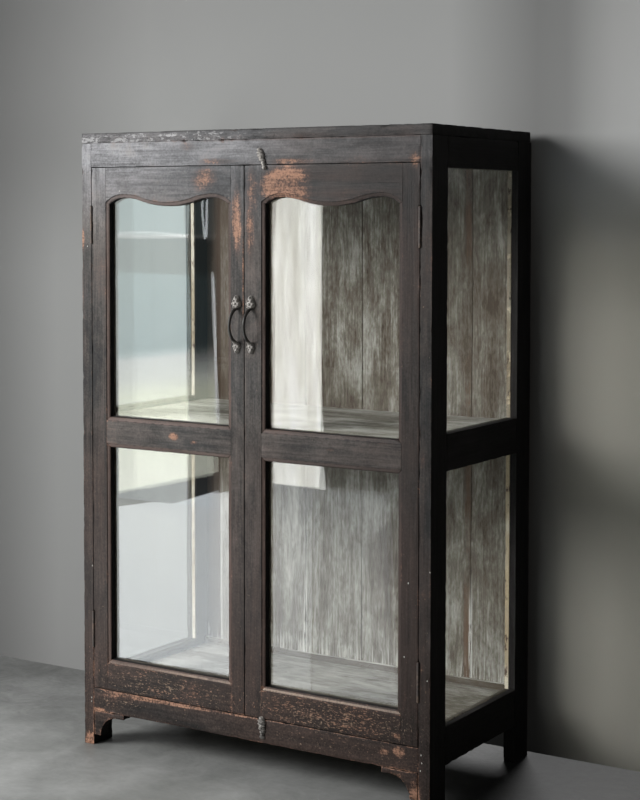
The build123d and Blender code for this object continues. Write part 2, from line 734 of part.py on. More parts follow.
def build_carcass():
    parts = {}
    front_post = right_post((FRONT, SIDE_FRONT))
    for cutter in hinge_recesses():
        front_post -= cutter
    rear_post = right_post((SIDE_REAR, REAR))
    for side, word in ((-1, "left"), (1, "right")):
        parts[f"front_{word}_post"] = on_side(front_post, side)
        parts[f"rear_{word}_post"] = on_side(rear_post, side)
        for level, rail in right_side_rails().items():
            parts[f"{word}_side_{level}_rail"] = on_side(rail, side)
        for level, glass in zip(("lower", "upper"), right_side_glass()):
            parts[f"{word}_side_{level}_glass"] = on_side(glass, side)
        beads = [on_side(bead, side) for bead in right_side_beads()]
        parts[f"{word}_side_beads"] = beads
        parts[f"{word}_bracket_foot"] = on_side(right_bracket_foot(), side)
    for name, (depths, heights) in CROSS_RAILS.items():
        rail = block((-INNER, INNER), depths, heights)
        parts[name] = with_tenons(rail, cross_tenons(depths, heights))
    parts["frieze_rail"] -= screw_pilot(BUTTON_OFFSET, TOP_BUTTON_LEVEL)
    parts["front_bottom_rail"] -= screw_pilot(BUTTON_OFFSET, BOTTOM_BUTTON_LEVEL)
    parts["top_board"] = block((-HALF, HALF), (FRONT, BACK_REAR), (TOP_UNDERSIDE, HEIGHT))
    for i, board in enumerate(back_boards()):
        parts[f"back_board_{i + 1}"] = board
    shelf = laid_boards(SHELF_FRONT_BOARD, (SHELF_UNDERSIDE, SHELF_TOP))
    floor = laid_boards(FLOOR_FRONT_BOARD, (FLOOR_UNDERSIDE, FLOOR_TOP))
    parts["shelf_front_board"], parts["shelf_rear_board"] = shelf
    parts["floor_front_board"], parts["floor_rear_board"] = floor
    parts["side_cleats"] = side_cleats()
    ledge_depths = (BACK_FRONT - LEDGE_DEPTH, BACK_FRONT)
    parts["floor_back_ledge"] = block(
        (-INNER + BOARD_FIT, INNER - BOARD_FIT), ledge_depths, (FLOOR_TOP, FLOOR_TOP + LEDGE_HEIGHT)
    )
    return parts


def build_doors():
    parts = {}
    for side, word in ((-1, "left"), (1, "right")):
        for name, piece in door_frame(side).items():
            parts[f"{word}_door_{name}"] = piece
        for name in PANES:
            parts[f"{word}_door_{name}_glass"] = door_glass(name, side)
        parts[f"{word}_door_beads"] = door_beads(side)
        parts[f"{word}_door_pull"] = pull(side)
        leaves = [on_side(door_leaf(low), side) for low in HINGE_LEVELS]
        parts[f"{word}_door_hinge_leaves"] = leaves
    return parts


def build_fittings():
    """Fixed hinge leaves, pins, turn buttons and their screws."""
    parts = {"post_hinge_leaves": [], "hinge_pins": []}
    for side in (-1, 1):
        for low in HINGE_LEVELS:
            parts["post_hinge_leaves"].append(on_side(post_leaf(low), side))
            parts["hinge_pins"].append(on_side(hinge_pin(low), side))
    parts["top_turn_button"] = turn_button(BUTTON_OFFSET, TOP_BUTTON_LEVEL, TOP_BUTTON_TILT)
    parts["bottom_turn_button"] = turn_button(BUTTON_OFFSET, BOTTOM_BUTTON_LEVEL, BOTTOM_BUTTON_TILT)
    parts["turn_button_screws"] = [
        button_screw(BUTTON_OFFSET, TOP_BUTTON_LEVEL),
        button_screw(BUTTON_OFFSET, BOTTOM_BUTTON_LEVEL),
    ]
    return parts


def solids_of(piece):
    """All solids of a node, which is one piece or a list of like pieces."""
    pieces = piece if isinstance(piece, list) else [piece]
    return [solid for one in pieces for solid in one.solids()]


os.makedirs("parts", exist_ok=True)
for parts in (build_carcass(), build_doors(), build_fittings()):
    for node, piece in parts.items():
        solids = solids_of(piece)
        shape = solids[0] if len(solids) == 1 else Compound(solids)
        export_step(shape, f"parts/{node}.step")
        print(node, len(solids))
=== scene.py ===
# %% [markdown]
# # A glass display cabinet, dressed in Blender
# The cabinet already exists as solid joinery: posts, rails, doors, panes, boards and iron
# fittings, each a piece of its own. This lesson gives those pieces their looks: worn dark paint,
# whitewashed boards, drawn glass and cast iron, and then the light and the camera.
# We start by loading the pieces. They stand where they belong, in metres, with the floor at
# z = 0 and the doors facing -Y.

# %% Load the joinery
import json
from itertools import chain
from math import atan2, cos, radians, sin, tan

import bpy
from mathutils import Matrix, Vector
from mathutils.kdtree import KDTree

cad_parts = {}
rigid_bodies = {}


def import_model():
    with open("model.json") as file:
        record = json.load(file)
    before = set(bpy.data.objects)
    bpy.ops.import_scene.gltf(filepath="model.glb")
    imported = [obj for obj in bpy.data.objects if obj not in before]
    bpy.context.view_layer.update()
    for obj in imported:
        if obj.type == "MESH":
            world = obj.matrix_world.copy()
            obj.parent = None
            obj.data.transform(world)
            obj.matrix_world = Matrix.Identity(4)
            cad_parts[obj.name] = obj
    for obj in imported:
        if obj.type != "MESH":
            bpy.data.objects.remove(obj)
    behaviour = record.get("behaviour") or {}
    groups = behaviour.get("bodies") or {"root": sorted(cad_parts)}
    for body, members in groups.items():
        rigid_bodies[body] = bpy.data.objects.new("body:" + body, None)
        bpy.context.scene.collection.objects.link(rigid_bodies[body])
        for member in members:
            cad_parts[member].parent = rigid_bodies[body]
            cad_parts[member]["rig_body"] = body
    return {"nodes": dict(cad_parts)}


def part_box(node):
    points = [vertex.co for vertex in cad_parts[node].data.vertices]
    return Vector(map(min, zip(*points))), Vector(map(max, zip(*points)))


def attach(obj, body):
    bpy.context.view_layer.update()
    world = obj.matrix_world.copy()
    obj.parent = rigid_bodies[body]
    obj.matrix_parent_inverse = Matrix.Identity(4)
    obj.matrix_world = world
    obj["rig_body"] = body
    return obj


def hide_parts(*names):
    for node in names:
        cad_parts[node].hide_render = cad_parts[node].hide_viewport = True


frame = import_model()
nodes = frame["nodes"]
body_of = {name: node["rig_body"] for name, node in nodes.items()}
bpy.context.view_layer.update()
FRONT_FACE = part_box("front_left_post")[0].y

# %% [markdown]
# ## The camera
# The cabinet is seen from its front right, a little below its top, through a lens twice as
# long as normal, so its upright lines stay nearly parallel. The view is framed low by shifting
# the lens instead of tilting the camera.

# %% Set the camera
CAMERA_PLACE = (2.33005, -3.61647, 1.3506)
CAMERA_TURN = (90 - 2.8441, -0.0738, 32.1357)


def settle(thing, **settings):
    """Gives several properties of a thing their values."""
    for name, value in settings.items():
        setattr(thing, name, value)
    return thing


bpy.ops.object.camera_add(location=CAMERA_PLACE, rotation=[radians(angle) for angle in CAMERA_TURN])
camera = bpy.context.object
settle(camera.data, lens=78.01, sensor_width=36, shift_y=-0.1256, clip_end=60)
bpy.context.scene.camera = camera
print("camera", [round(v, 3) for v in camera.location], "lens", camera.data.lens, "mm")

# %% [markdown]
# ## Writing shader maths as sums
# A finish is a network of nodes, in which a sum of two masks is a Math node and two links. To
# keep the recipes readable, a small class wraps a node's output, and the usual signs between
# two of them, or between one and a plain number, add the Math node.

# %% Wrap a socket
class Wire:
    """One output of a node in a finish, which can be added, multiplied and so on."""

    def __init__(self, finish, socket):
        self.finish = finish
        self.socket = socket

    def math(self, operation, *terms):
        inputs = dict(enumerate((self, *terms)))
        return self.finish.node("Math", {"operation": operation}, inputs)

    def __add__(self, other):
        return self.math("ADD", other)

    __radd__ = __add__

    def __mul__(self, other):
        return self.math("MULTIPLY", other)

    def __sub__(self, other):
        return self.math("SUBTRACT", other)

    def __rsub__(self, other):
        return (self * -1) + other

    def most(self, other):
        return self.math("MAXIMUM", other)


print("signs that add nodes: + - *")

# %% [markdown]
# Everything else comes from one method: the kind of node, its settings, which are made first
# because some of them change the sockets, and then a value or a wire for each socket.

# %% A finish and its nodes
class Finish:
    """A material under construction."""

    def __init__(self, name):
        self.material = bpy.data.materials.new(name)
        self.material.use_nodes = True
        self.tree = self.material.node_tree
        self.shader = self.tree.nodes["Principled BSDF"]

    def node(self, kind, settings=None, inputs=None, output=0):
        made = self.tree.nodes.new("ShaderNode" + kind)
        for name, value in (settings or {}).items():
            if name == "stops":
                ramp = made.color_ramp
                while len(ramp.elements) < len(value):
                    ramp.elements.new(1)
                for stop, (position, shade) in zip(ramp.elements, value):
                    stop.position = position
                    stop.color = (*shade[:3], 1)
            else:
                setattr(made, name, value)
        self.join(made, inputs or {})
        return Wire(self, made.outputs[output])

    def join(self, node, inputs):
        for name, value in inputs.items():
            if isinstance(value, Wire):
                self.tree.links.new(value.socket, node.inputs[name])
            else:
                node.inputs[name].default_value = value

    def surface(self, **inputs):
        self.join(self.shader, {name.replace("_", " "): value for name, value in inputs.items()})
        return self.material


print("finishes are made of nodes")

# %% [markdown]
# A few patterns come back in every finish: where we are on the piece, noise that can be drawn
# out along the grain, a soft step that turns noise into patches, and a mix of two colours. A
# low scale on one axis draws the noise out along it.

# %% Patterns that come back
MIX_A, MIX_B, MIX_COLOUR = 6, 7, 2
EVEN = (1, 1, 1)


def place(finish):
    return finish.node("TexCoord", output="Object")


def axis_of(where, letter):
    return where.finish.node("SeparateXYZ", None, {0: where}, "XYZ".index(letter))


def axes(where, letters="XYZ"):
    return [axis_of(where, letter) for letter in letters]


def facing(finish, letter):
    """How much the skin faces along an axis, from -1 to 1."""
    return axis_of(finish.node("TexCoord", output="Normal"), letter)


def noted(finish, name):
    """A number kept at each vertex of the mesh."""
    return finish.node("Attribute", {"attribute_name": name}, output="Fac")


def stretched(where, scale, shift=(0, 0, 0)):
    terms = {0: where, 1: scale, 2: shift}
    return where.finish.node("VectorMath", {"operation": "MULTIPLY_ADD"}, terms)


def noise(where, scale, detail=4, rough=0.6, swirl=0):
    inputs = {"Vector": where, "Scale": scale, "Detail": detail, "Roughness": rough, "Distortion": swirl}
    return where.finish.node("TexNoise", None, inputs)


def waver(where, stretch, shift, detail, rough, swirl=0, scale=1):
    """Noise about zero."""
    return noise(stretched(where, stretch, shift), scale, detail, rough, swirl) - 0.5


def fibred(grain, along, across):
    """A stretch for each axis: one number along the grain and one across it."""
    return [along if letter == grain else across for letter in "XYZ"]


def step(value, low, high):
    inputs = {"Value": value, "From Min": low, "From Max": high}
    return value.finish.node("MapRange", {"interpolation_type": "SMOOTHSTEP"}, inputs)


def line(off, faint, full):
    """1 where off is within full metres of zero, and 0 beyond faint metres."""
    return step(off * off, faint * faint, full * full)


def blend(mask, first, second):
    inputs = {"Factor": mask, MIX_A: first, MIX_B: second}
    return mask.finish.node("Mix", {"data_type": "RGBA"}, inputs, MIX_COLOUR)


def dimmed(skin, share):
    """A colour times a number."""
    return share.finish.node("VectorMath", {"operation": "SCALE"}, {0: skin, 3: share})


def colour(red, green, blue):
    return (red, green, blue, 1)


def bumped(finish, height, depth):
    return finish.node("Bump", None, {"Height": height, "Distance": depth})


print("patterns ready")

# %% [markdown]
# ## The dark paint
# The frame was painted charcoal long ago. High up on the left of the front, where the light
# falls, it is paler: partly a pale film that has settled there, partly a painted sheen. The
# paint has rubbed through to orange-brown wood round the turn button and along the top of the
# base rail, and near the floor it is peppered with scuffs. It is all drawn from noise: long
# noise for the fibres of the wood, round noise for patches, and a few named places where hands,
# shoes and the doors have worn the paint most. Painted shade darkens the right of the front and
# the faces that do not look to the front.

# %% Where the paint is worn most
# Each place is (x, z, half width, half height) in millimetres on the front, and its strength.
WORN_PLACES = {
    "right door head": ((112, 1415, 100, 60, 1.15), (18, 1400, 26, 90, 0.75)),
    "left door head": ((-118, 1432, 55, 40, 0.80),),
    "meeting stiles": ((-26, 1335, 20, 130, 0.85), (-7, 1180, 6, 200, 0.75), (13, 1325, 18, 110, 0.80)),
    "frieze, left": ((-171, 1511, 30, 16, 0.55), (-75, 1474, 75, 11, 0.70)),
    "frieze, right": ((120, 1472, 80, 12, 0.75), (455, 1470, 18, 30, 0.6)),
    "base rail, left": ((-452, 94, 28, 7, 0.8), (-385, 134, 85, 18, 0.62)),
    "base rail, right": ((381, 123, 22, 12, 0.9), (420, 132, 22, 20, 1.0)),
    "feet": ((-484, 6, 22, 34, 1.0), (462, 40, 20, 40, 0.8)),
    "middle rails": ((-215, 806, 20, 13, 0.9), (-155, 795, 16, 8, 0.7), (235, 806, 16, 6, 0.7)),
    "right door, low down": ((436, 250, 16, 30, 0.5), (418, 166, 22, 12, 0.85)),
    "posts": ((477, 330, 9, 16, 0.7), (478, 800, 10, 30, 0.5), (-497, 1285, 6, 40, 0.9)),
}
SCUFFED_PLACES = {
    "door bottom rails": ((250, 182, 340, 60, 1.10), (-230, 178, 320, 50, 0.95)),
    "base rail": ((-400, 120, 120, 34, 0.75), (250, 118, 260, 34, 0.45)),
    "posts": ((484, 300, 20, 330, 0.34), (-486, 200, 20, 260, 0.22)),
}
WHITE_DRIPS = (
    (-477, 120), (-477, 110), (-472, 459), (-483, 1267), (477, 132), (479, 114),
    (476, 96), (443, 519), (433, 350), (498, 550), (492, 303), (-380, 1405),
)
DRIP_SIZE = 0.0017


def spots(where, places_on):
    """A soft mask on the front of the cabinet that is highest at the heart of each place."""
    x, y, z = axes(where)
    mask = x * 0
    for *box, strength in chain(*places_on.values()):
        middle_x, middle_z, half_width, half_height = (value / 1000 for value in box)
        across = (x - middle_x) * (1 / half_width)
        up = (z - middle_z) * (1 / half_height)
        mask = mask.most((1 - (across * across + up * up)) * strength)
    return mask * step(y, -0.18, -0.2)


print("worn:", list(WORN_PLACES), "scuffed:", list(SCUFFED_PLACES), len(WHITE_DRIPS), "drips")

# %% [markdown]
# Some wear and some painted light follow lines. The top of the base rail has lost its paint
# where the doors drag over it, in a strip that is widest near the left foot. The lower arris of
# each bottom pane is painted pale, a painted highlight where it catches the light, broken up
# like rubbed paint. The front edge of the top board is covered in ragged flakes. The mouldings
# round the panes lie a little behind the face and are browner, with painted shade in the corner
# where they start, and a painted shadow runs down the line where the doors meet; the attributes
# arris and crease tell the paint where corners are.

# %% Wear along lines
BASE_RAIL_TOP, PANE_BEVEL, MIDDLE_RAIL, TOP_BOARD_FOOT = 0.147, 0.219, 0.8, 1.525
DOOR_FOOT, DOOR_TOP, MEETING_LINE = 0.1485, 1.4635, -0.005


def dragged_strip(x, z):
    """The strip along the top of the base rail, narrower to the right."""
    width = ((x + 0.4) * -0.022 + 0.015).most(0.0034) * step(x, -0.47, -0.4)
    uncovered = step(z, DOOR_FOOT + 0.0001, DOOR_FOOT - 0.0009)
    return step(width - (BASE_RAIL_TOP + 0.0005 - z), -0.0015, 0.003) * uncovered


def pane_foot_highlight(x, z):
    """A painted highlight on the bevel at the foot of the two lower panes, palest on the right door."""
    return line(z - PANE_BEVEL, 0.003464, 0.001414) * (step(x, -0.45, 0.1) * 0.75 + 0.25)


def meeting_gap_shade(x, z):
    """A painted shadow line where the two doors meet."""
    between = step(z, DOOR_FOOT - 0.0005, DOOR_FOOT + 0.0015) * step(z, DOOR_TOP + 0.001, DOOR_TOP - 0.0005)
    return line(x - MEETING_LINE, 0.002408, 0.001414) * between


print("strip below", BASE_RAIL_TOP, "bevels at", PANE_BEVEL, "flakes above", TOP_BOARD_FOOT)

# %% Draw the paint
PAINT_DEEP = colour(0.016, 0.014, 0.0135)
PAINT_GREY = colour(0.058, 0.05, 0.0455)
PAINT_BROWN = colour(0.05, 0.031, 0.025)
PAINT_BLUE = colour(0.04, 0.046, 0.054)
PAINT_SHADE = colour(0.0125, 0.0112, 0.01)
MOULDING_BROWN = colour(0.14, 0.092, 0.076)
FILM_AND_SHEEN = colour(0.335, 0.335, 0.35)
FILM_AND_SHEEN_WARM = colour(0.33, 0.29, 0.255)
UNDERCOAT = colour(0.115, 0.066, 0.052)
BARE_WOOD = colour(0.45, 0.245, 0.16)
PALE_HIGHLIGHT = colour(0.5, 0.38, 0.3)
SCUFF = colour(0.36, 0.26, 0.185)
FLAKES = colour(0.42, 0.415, 0.415)
DRIP_WHITE = colour(0.62, 0.61, 0.57)


def dark_paint(grain):
    """Charcoal paint on wood whose fibres run along X, Y or Z."""
    finish = Finish("worn_dark_paint_grain_" + grain)
    where = place(finish)
    x, y, z = axes(where)
    fibres = waver(where, fibred(grain, 8, 190), (0, 0, 0), 6, 0.68)
    strokes = waver(where, fibred(grain, 2.56, 60.8), (3.1, 1.7, 5.2), 4, 0.6, 0.4)
    drifts = waver(where, fibred(grain, 5.48, 16.4), (2.2, 6.1, 3.7), 7, 0.66, 0.6)
    crumbs = waver(where, fibred(grain, 105, 330), (0.2, 0.9, 0.4), 4, 0.65)
    patches = waver(where, EVEN, (7.3, 2.9, 4.1), 8, 0.7, scale=14)
    tones = waver(where, EVEN, (1.3, 4.9, 0.1), 3, 0.5, scale=3.4)
    grit = waver(where, EVEN, (5.5, 0.3, 2.8), 3, 0.65, scale=230)
    arris, crease = noted(finish, "arris"), noted(finish, "crease")
    front = step(facing(finish, "Y"), -0.35, -0.8) * step(y, -0.17, -0.2)
    moulded = step(y, FRONT_FACE + 0.0009, FRONT_FACE + 0.0016) * front
    above = step(z, TOP_BOARD_FOOT - 0.002, TOP_BOARD_FOOT + 0.002)

    # Pale film and painted sheen, strongest high up on the left where the light falls.
    high = step(z, 1.44, 1.485)
    head = step(z, 1.2, 1.45)
    film_and_sheen = high * (0.35 - x * 1.25).most(0.15) + head * (1 - high) * (0.12 - x * 0.72)
    middle = line(x, 0.06, 0.03)
    if grain == "X":
        middle = middle + line(z - MIDDLE_RAIL, 0.04, 0.03464)
    film_and_sheen = film_and_sheen.most(0.02) + step(z, 0.5, 1.4) * step(x, 0.2, -0.5) * 0.06
    film_and_sheen = (film_and_sheen + middle * step(z, 0.3, 0.8) * 0.1) * (1 - above * 0.62) * (1 - moulded * 0.6)
    film_and_sheen = film_and_sheen * (strokes * 0.8 + drifts * 2.4 + fibres * 0.9 + patches * 2.0 + grit * 0.7 + 0.95) * front
    tone = strokes * 0.9 + drifts * 2.2 + patches * 1.5 + fibres * 1.1 + grit * 0.7 + tones
    grey = blend(step(tone, -0.5, 0.5), PAINT_DEEP, PAINT_GREY)
    brown = step(z, 1.1, 0.15) * 0.55 + step(x, -0.2, 0.5) * 0.3 + tones * 1.5 + strokes * 0.8 + drifts * 1.4
    brown = brown - step(x, 0.467, 0.471) * 0.35
    paint = blend(step(brown, 0.15, -0.55) * 0.45, grey, PAINT_BLUE)
    paint = blend(step(brown, -0.2, 0.8), paint, PAINT_BROWN)
    paint = blend(moulded * (step(x, 0.5, -0.4) * 0.45 + 0.3), paint, MOULDING_BROWN)
    # Painted shade: faces that do not look to the front are painted very dark, except the left side and the
    # back, which keep the grey paint.
    shaded_side = blend(step(tone, -0.5, 0.5), PAINT_SHADE, PAINT_DEEP)
    outside = step(x, -0.488, -0.494).most(step(y, 0.266, 0.27))
    paint = blend(front, blend(outside, shaded_side, grey), paint)
    dust_and_sheen = blend(head.most(0.25), FILM_AND_SHEEN_WARM, FILM_AND_SHEEN)
    dust_and_sheen = blend(step(patches + tones * 0.6, 0.02, 0.22) * 0.45, dust_and_sheen, FILM_AND_SHEEN_WARM)
    paint = blend(film_and_sheen, paint, dust_and_sheen)

    rub = spots(where, WORN_PLACES)
    if grain == "X":
        rub = rub.most(dragged_strip(x, z) * 0.85)
    rub = rub.most(arris * arris * arris * (step(z, 0.4, 0.08) * 0.5 + patches * 1.6 + 0.3))
    rub = rub + patches * 1.4 + strokes * 0.4 + drifts * 1.0 + fibres * 0.5 + grit * 0.8
    bare = step(rub, 0.48, 0.9) * front
    fresh = step(fibres * 0.7 + strokes * 0.4 + patches * 1.2 + grit * 0.9, -0.28, 0.1)
    skin = blend(step(rub, 0.12, 0.7) * front * 0.6, paint, UNDERCOAT)
    skin = blend(bare * 0.9, skin, blend(fresh, UNDERCOAT, BARE_WOOD))

    scuffed = spots(where, SCUFFED_PLACES)
    skin = blend(scuffed * step(strokes + patches, 0.12, -0.15) * 0.5, skin, PAINT_DEEP)
    flecks = step(crumbs + grit * 0.3 + scuffed * 0.15 + step(z, 0.9, 0.1) * 0.02, 0.205, 0.285) * front
    skin = blend(flecks * 0.8, skin, blend(step(patches + drifts, -0.1, 0.15), SCUFF, BARE_WOOD))
    # Painted shade in the creases, and a painted shadow on the line where the doors meet.
    crease_shade = step(crease, 0.45, 0.9) * 0.85
    if grain == "Z":
        crease_shade = crease_shade.most(meeting_gap_shade(x, z) * 0.9)
    skin = blend(crease_shade * front, skin, PAINT_SHADE)
    if grain == "X":
        # A painted highlight along the bevel at the foot of the lower panes, broken up like rubbed paint.
        rubbed = pane_foot_highlight(x, z) * step(patches + strokes, -0.22, 0.05)
        skin = blend(rubbed * 0.85 * front, skin, PALE_HIGHLIGHT)
        ragged = waver(where, (24, 24, 60), (0.4, 0, 0.9), 6, 0.72, 1.0)
        flaking = above * step(ragged * 1.5 + grit * 0.3 - x * 0.22 - (z - TOP_BOARD_FOOT) * 4, 0.06, 0.11)
        skin = blend(flaking * step(x, 0.12, -0.2) * 0.85 * front, skin, FLAKES)
        torn = above * step(crumbs * 0.6 - ragged * 0.9 + grit * 0.4, 0.06, 0.14)
        skin = blend(torn * 0.85, skin, PAINT_DEEP)
        skin = blend(step(z, 1.5445, 1.5485) * 0.8 * front, skin, PAINT_DEEP)
        under = step(z, TOP_BOARD_FOOT - 0.006, TOP_BOARD_FOOT) * (1 - above)
        skin = blend(under * step(x + patches, -0.25, 0.05) * front * 0.5, skin, UNDERCOAT)
    skin = blend(film_and_sheen * 0.3, skin, dust_and_sheen)
    # Painted shade: the right of the front, and most of all the head of the right door, are darker.
    right_head_shade = step(x, 0.1, 0.25) * step(z, 1.2, 1.4) * step(z, DOOR_TOP + 0.0025, DOOR_TOP - 0.0005)
    shade = 1 - step(x, 0.12, 0.42) * 0.3 - right_head_shade * 0.13
    low = step(z, 0.32, 0.14)
    contrast = grit * (low * 1.7 + 0.8) + fibres * 1.3 + strokes * 0.8 + drifts * 0.9 + 1
    skin = dimmed(skin, (contrast * shade).most(0.25))
    for spot_x, spot_z in WHITE_DRIPS:
        off_x = x - spot_x / 1000 + patches * 0.006
        off_z = (z - spot_z / 1000) * 0.7 + grit * 0.004
        drip = step(off_x * off_x + off_z * off_z, DRIP_SIZE * DRIP_SIZE, 0)
        skin = blend(drip * front, skin, DRIP_WHITE)
    height = fibres * 0.5 + strokes * 0.5 + patches * 0.5 - bare * 0.3 - flecks * 0.3
    rough = strokes * 0.3 + patches * 0.2 + bare * 0.12 - front * 0.32 + 0.8
    return finish.surface(
        Base_Color=skin, Roughness=rough, Normal=bumped(finish, height, 0.0011), Specular_IOR_Level=0.19
    )


paint_along = {grain: dark_paint(grain) for grain in "XYZ"}
print([material.name for material in paint_along.values()])

# %% [markdown]
# ## The whitewashed boards
# The back, the shelf and the floor are rough boards brushed with a thin white wash. It gathers
# in streaks along the brush, brown wood shows between them and beside the seams, and at the
# foot of some seams it has run down white. From behind the boards are bare. Light and shade are
# painted in too: the back below the shelf, and the shelf and floor, are painted paler, the left
# end of the back is painted dark as painted shade, and a painted highlight runs along the back
# edge of the shelf.

# %% Draw the whitewash
BOARD_BROWN = colour(0.062, 0.04, 0.026)
SEAM_BROWN = colour(0.15, 0.08, 0.046)
WASH_GREY = colour(0.16, 0.142, 0.114)
WASH_WHITE = colour(0.47, 0.46, 0.42)
RUN_WHITE = colour(0.72, 0.71, 0.67)
BARE_BACK = colour(0.15, 0.11, 0.078)
BARE_BACK_DARK = colour(0.065, 0.047, 0.035)
BARE_FROM, BARE_FULL, SHADED_LEFT_END = 0.26, 0.266, -0.421
SEAMS = (-0.31, -0.146, 0.028, 0.19, 0.346)
WASHED_SEAMS = (-0.146, 0.346)
BROWN_SEAMS = (-0.31, 0.19, 0.336)


def whitewash(grain):
    """White wash brushed along X or Z over brown boards."""
    finish = Finish("whitewash_grain_" + grain)
    where = place(finish)
    x, y, z = axes(where)
    streaks = waver(where, fibred(grain, 1.6, 34), (0, 0, 0), 7, 0.66, 0.6)
    hairs = waver(where, fibred(grain, 9.6, 204), (1.3, 0, 2.2), 4, 0.65)
    clouds = waver(where, EVEN, (0, 3.3, 0.4), 5, 0.6, scale=4.0)
    dabs = waver(where, fibred(grain, 9, 45), (4, 1, 0), 6, 0.72, 0.3)
    blots = waver(where, fibred(grain, 5, 13), (6, 2, 1), 7, 0.68, 0.9)
    speck = waver(where, fibred(grain, 60, 190), (2, 5, 1), 3, 0.65)
    wash_and_light = streaks * 0.6 + hairs * 0.75 + dabs * 0.45 + clouds * 0.8 + blots * 1.3 + speck * 0.65 + 0.46
    if grain == "Z":
        for seam in BROWN_SEAMS:
            beside = line(x - seam + clouds * 0.02 + streaks * 0.008, 0.01483, 0.004472)
            wash_and_light = wash_and_light - beside * step(clouds + hairs * 0.5, -0.16, 0.1) * 0.3
        # Painted light: the back is paler below the shelf, and paler still near the floor.
        wash_and_light = wash_and_light + step(z + clouds * 0.3, 0.9, 0.7) * 0.1 + step(z + clouds * 0.2, 0.3, 0.17) * 0.1
    else:
        # Painted light: the shelf and floor boards are paler all over.
        wash_and_light = wash_and_light + 0.25
    stops = ((0.18, BOARD_BROWN), (0.5, WASH_GREY), (1.0, WASH_WHITE))
    skin = finish.node("ValToRGB", {"stops": stops}, {0: wash_and_light})
    if grain == "Z":
        for seam in BROWN_SEAMS:
            stained = line(x - seam + clouds * 0.012 + streaks * 0.006, 0.0114, 0.003162)
            stained = stained * step(clouds + hairs * 0.5 - z * 0.1, -0.22, 0.0)
            skin = blend(stained * 0.75, skin, SEAM_BROWN)
        for seam in SEAMS:
            skin = blend(line(x - seam, 0.001789, 0.000775) * 0.75, skin, BOARD_BROWN)
        # Painted shade: the left end of the back, and above the shelf a wider strip, are painted dark brown.
        skin = blend(step(x, SHADED_LEFT_END, SHADED_LEFT_END - 0.004) * 0.95, skin, BOARD_BROWN)
        skin = blend(step(x, -0.37, -0.4) * step(z, 0.82, 0.86) * 0.7, skin, BOARD_BROWN)
        brushed_up_to = line(x - SHADED_LEFT_END + hairs * 0.006, 0.004243, 0.002) * step(z, 0.62, 0.5)
        skin = blend(brushed_up_to * 0.5, skin, WASH_WHITE)
        for seam in WASHED_SEAMS:
            ran = line(x - seam + hairs * 0.01 + clouds * 0.006, 0.005831, 0.002828)
            ran = ran * step(z + streaks * 0.5, 0.46, 0.3) * step(hairs + streaks * 0.4, -0.12, 0.02)
            skin = blend(ran * 0.9, skin, RUN_WHITE)
        spattered = step(z, 0.24, 0.17) * step(hairs + clouds * 0.5, 0.02, 0.1)
        skin = blend(spattered * 0.6, skin, RUN_WHITE)
    else:
        ledge = step(z, 0.161, 0.1625) * step(z, 0.21, 0.19)
        upward = step(facing(finish, "Z"), 0.5, 0.8)
        splashed = ledge * upward * step(hairs + blots, -0.15, 0.1) * step(x, -0.32, -0.22)
        # A painted highlight along the back edge of the shelf.
        shelf_edge_highlight = step(z, 0.8, 0.83) * step(y, 0.248, 0.251) * step(hairs + blots, -0.3, 0.0)
        skin = blend(ledge * (1 - upward) * 0.75, skin, BOARD_BROWN)
        skin = blend(splashed.most(shelf_edge_highlight) * 0.75, skin, RUN_WHITE)
    bare = blend(step(streaks + hairs * 0.4, -0.2, 0.3), BARE_BACK_DARK, BARE_BACK)
    skin = blend(step(y, BARE_FROM, BARE_FULL), skin, bare)
    bump = bumped(finish, streaks * 0.5 + hairs * 0.5, 0.0012)
    return finish.surface(Base_Color=skin, Roughness=0.8 - hairs * 0.2, Normal=bump, Specular_IOR_Level=0.25)


wash_along = {grain: whitewash(grain) for grain in "XZ"}
print([material.name for material in wash_along.values()])

# %% [markdown]
# ## Cream beads
# The strips that hold the panes were painted cream and have yellowed and chipped. Only the
# upright strips at the sides show their cream, on the edge that looks to the front; their other
# faces are painted dark, as painted shade. The others are painted dark, and at the top right
# the cream is nearly gone. On the right the cream is painted brighter, as painted light, where
# those strips lie in shade.

# %% Draw the bead paint
SIDE_FROM, SIDE_FULL = 0.46, 0.465


def cream_paint():
    finish = Finish("chipped_cream_paint")
    where = place(finish)
    x, z = axes(where, "XZ")
    chips = noise(stretched(where, (1, 1, 0.4)), 75, 6, 0.7)
    age = noise(stretched(where, (1, 1, 0.5)), 9, 3)
    dirt = noise(where, 30, 5, 0.7)
    cream = blend(step(age, 0.35, 0.65), colour(0.24, 0.19, 0.12), colour(0.42, 0.385, 0.315))
    cream = blend(step(dirt, 0.5, 0.72) * 0.6, cream, colour(0.16, 0.125, 0.09))
    # Painted light: the beads on the right, which lie in shade, are painted 1.7 times brighter.
    cream = dimmed(cream, step(x, 0, 0.1) * 0.7 + 1)
    skin = blend(step(chips, 0.56, 0.62), cream, colour(0.1, 0.065, 0.045))
    # Painted shade: the faces of the side beads that do not look to the front or back are painted dark; the
    # other beads are painted dark too.
    across = facing(finish, "Y")
    at_side = step(x * x, SIDE_FROM * SIDE_FROM, SIDE_FULL * SIDE_FULL)
    gone = step(x, SIDE_FROM, SIDE_FULL) * step(z, 0.82, 0.86) * step(dirt, 0.62, 0.54)
    cream_share = at_side * (step(across * across, 0.4, 0.7) * 0.9 + 0.1) * (1 - gone * 0.6) + (1 - at_side) * 0.12
    skin = blend(cream_share, colour(0.03, 0.024, 0.018), skin)
    bump = bumped(finish, chips, 0.0006)
    return finish.surface(Base_Color=skin, Roughness=0.55 + chips * 0.2, Normal=bump, Specular_IOR_Level=0.3)


bead_paint = cream_paint()
print(bead_paint.name)

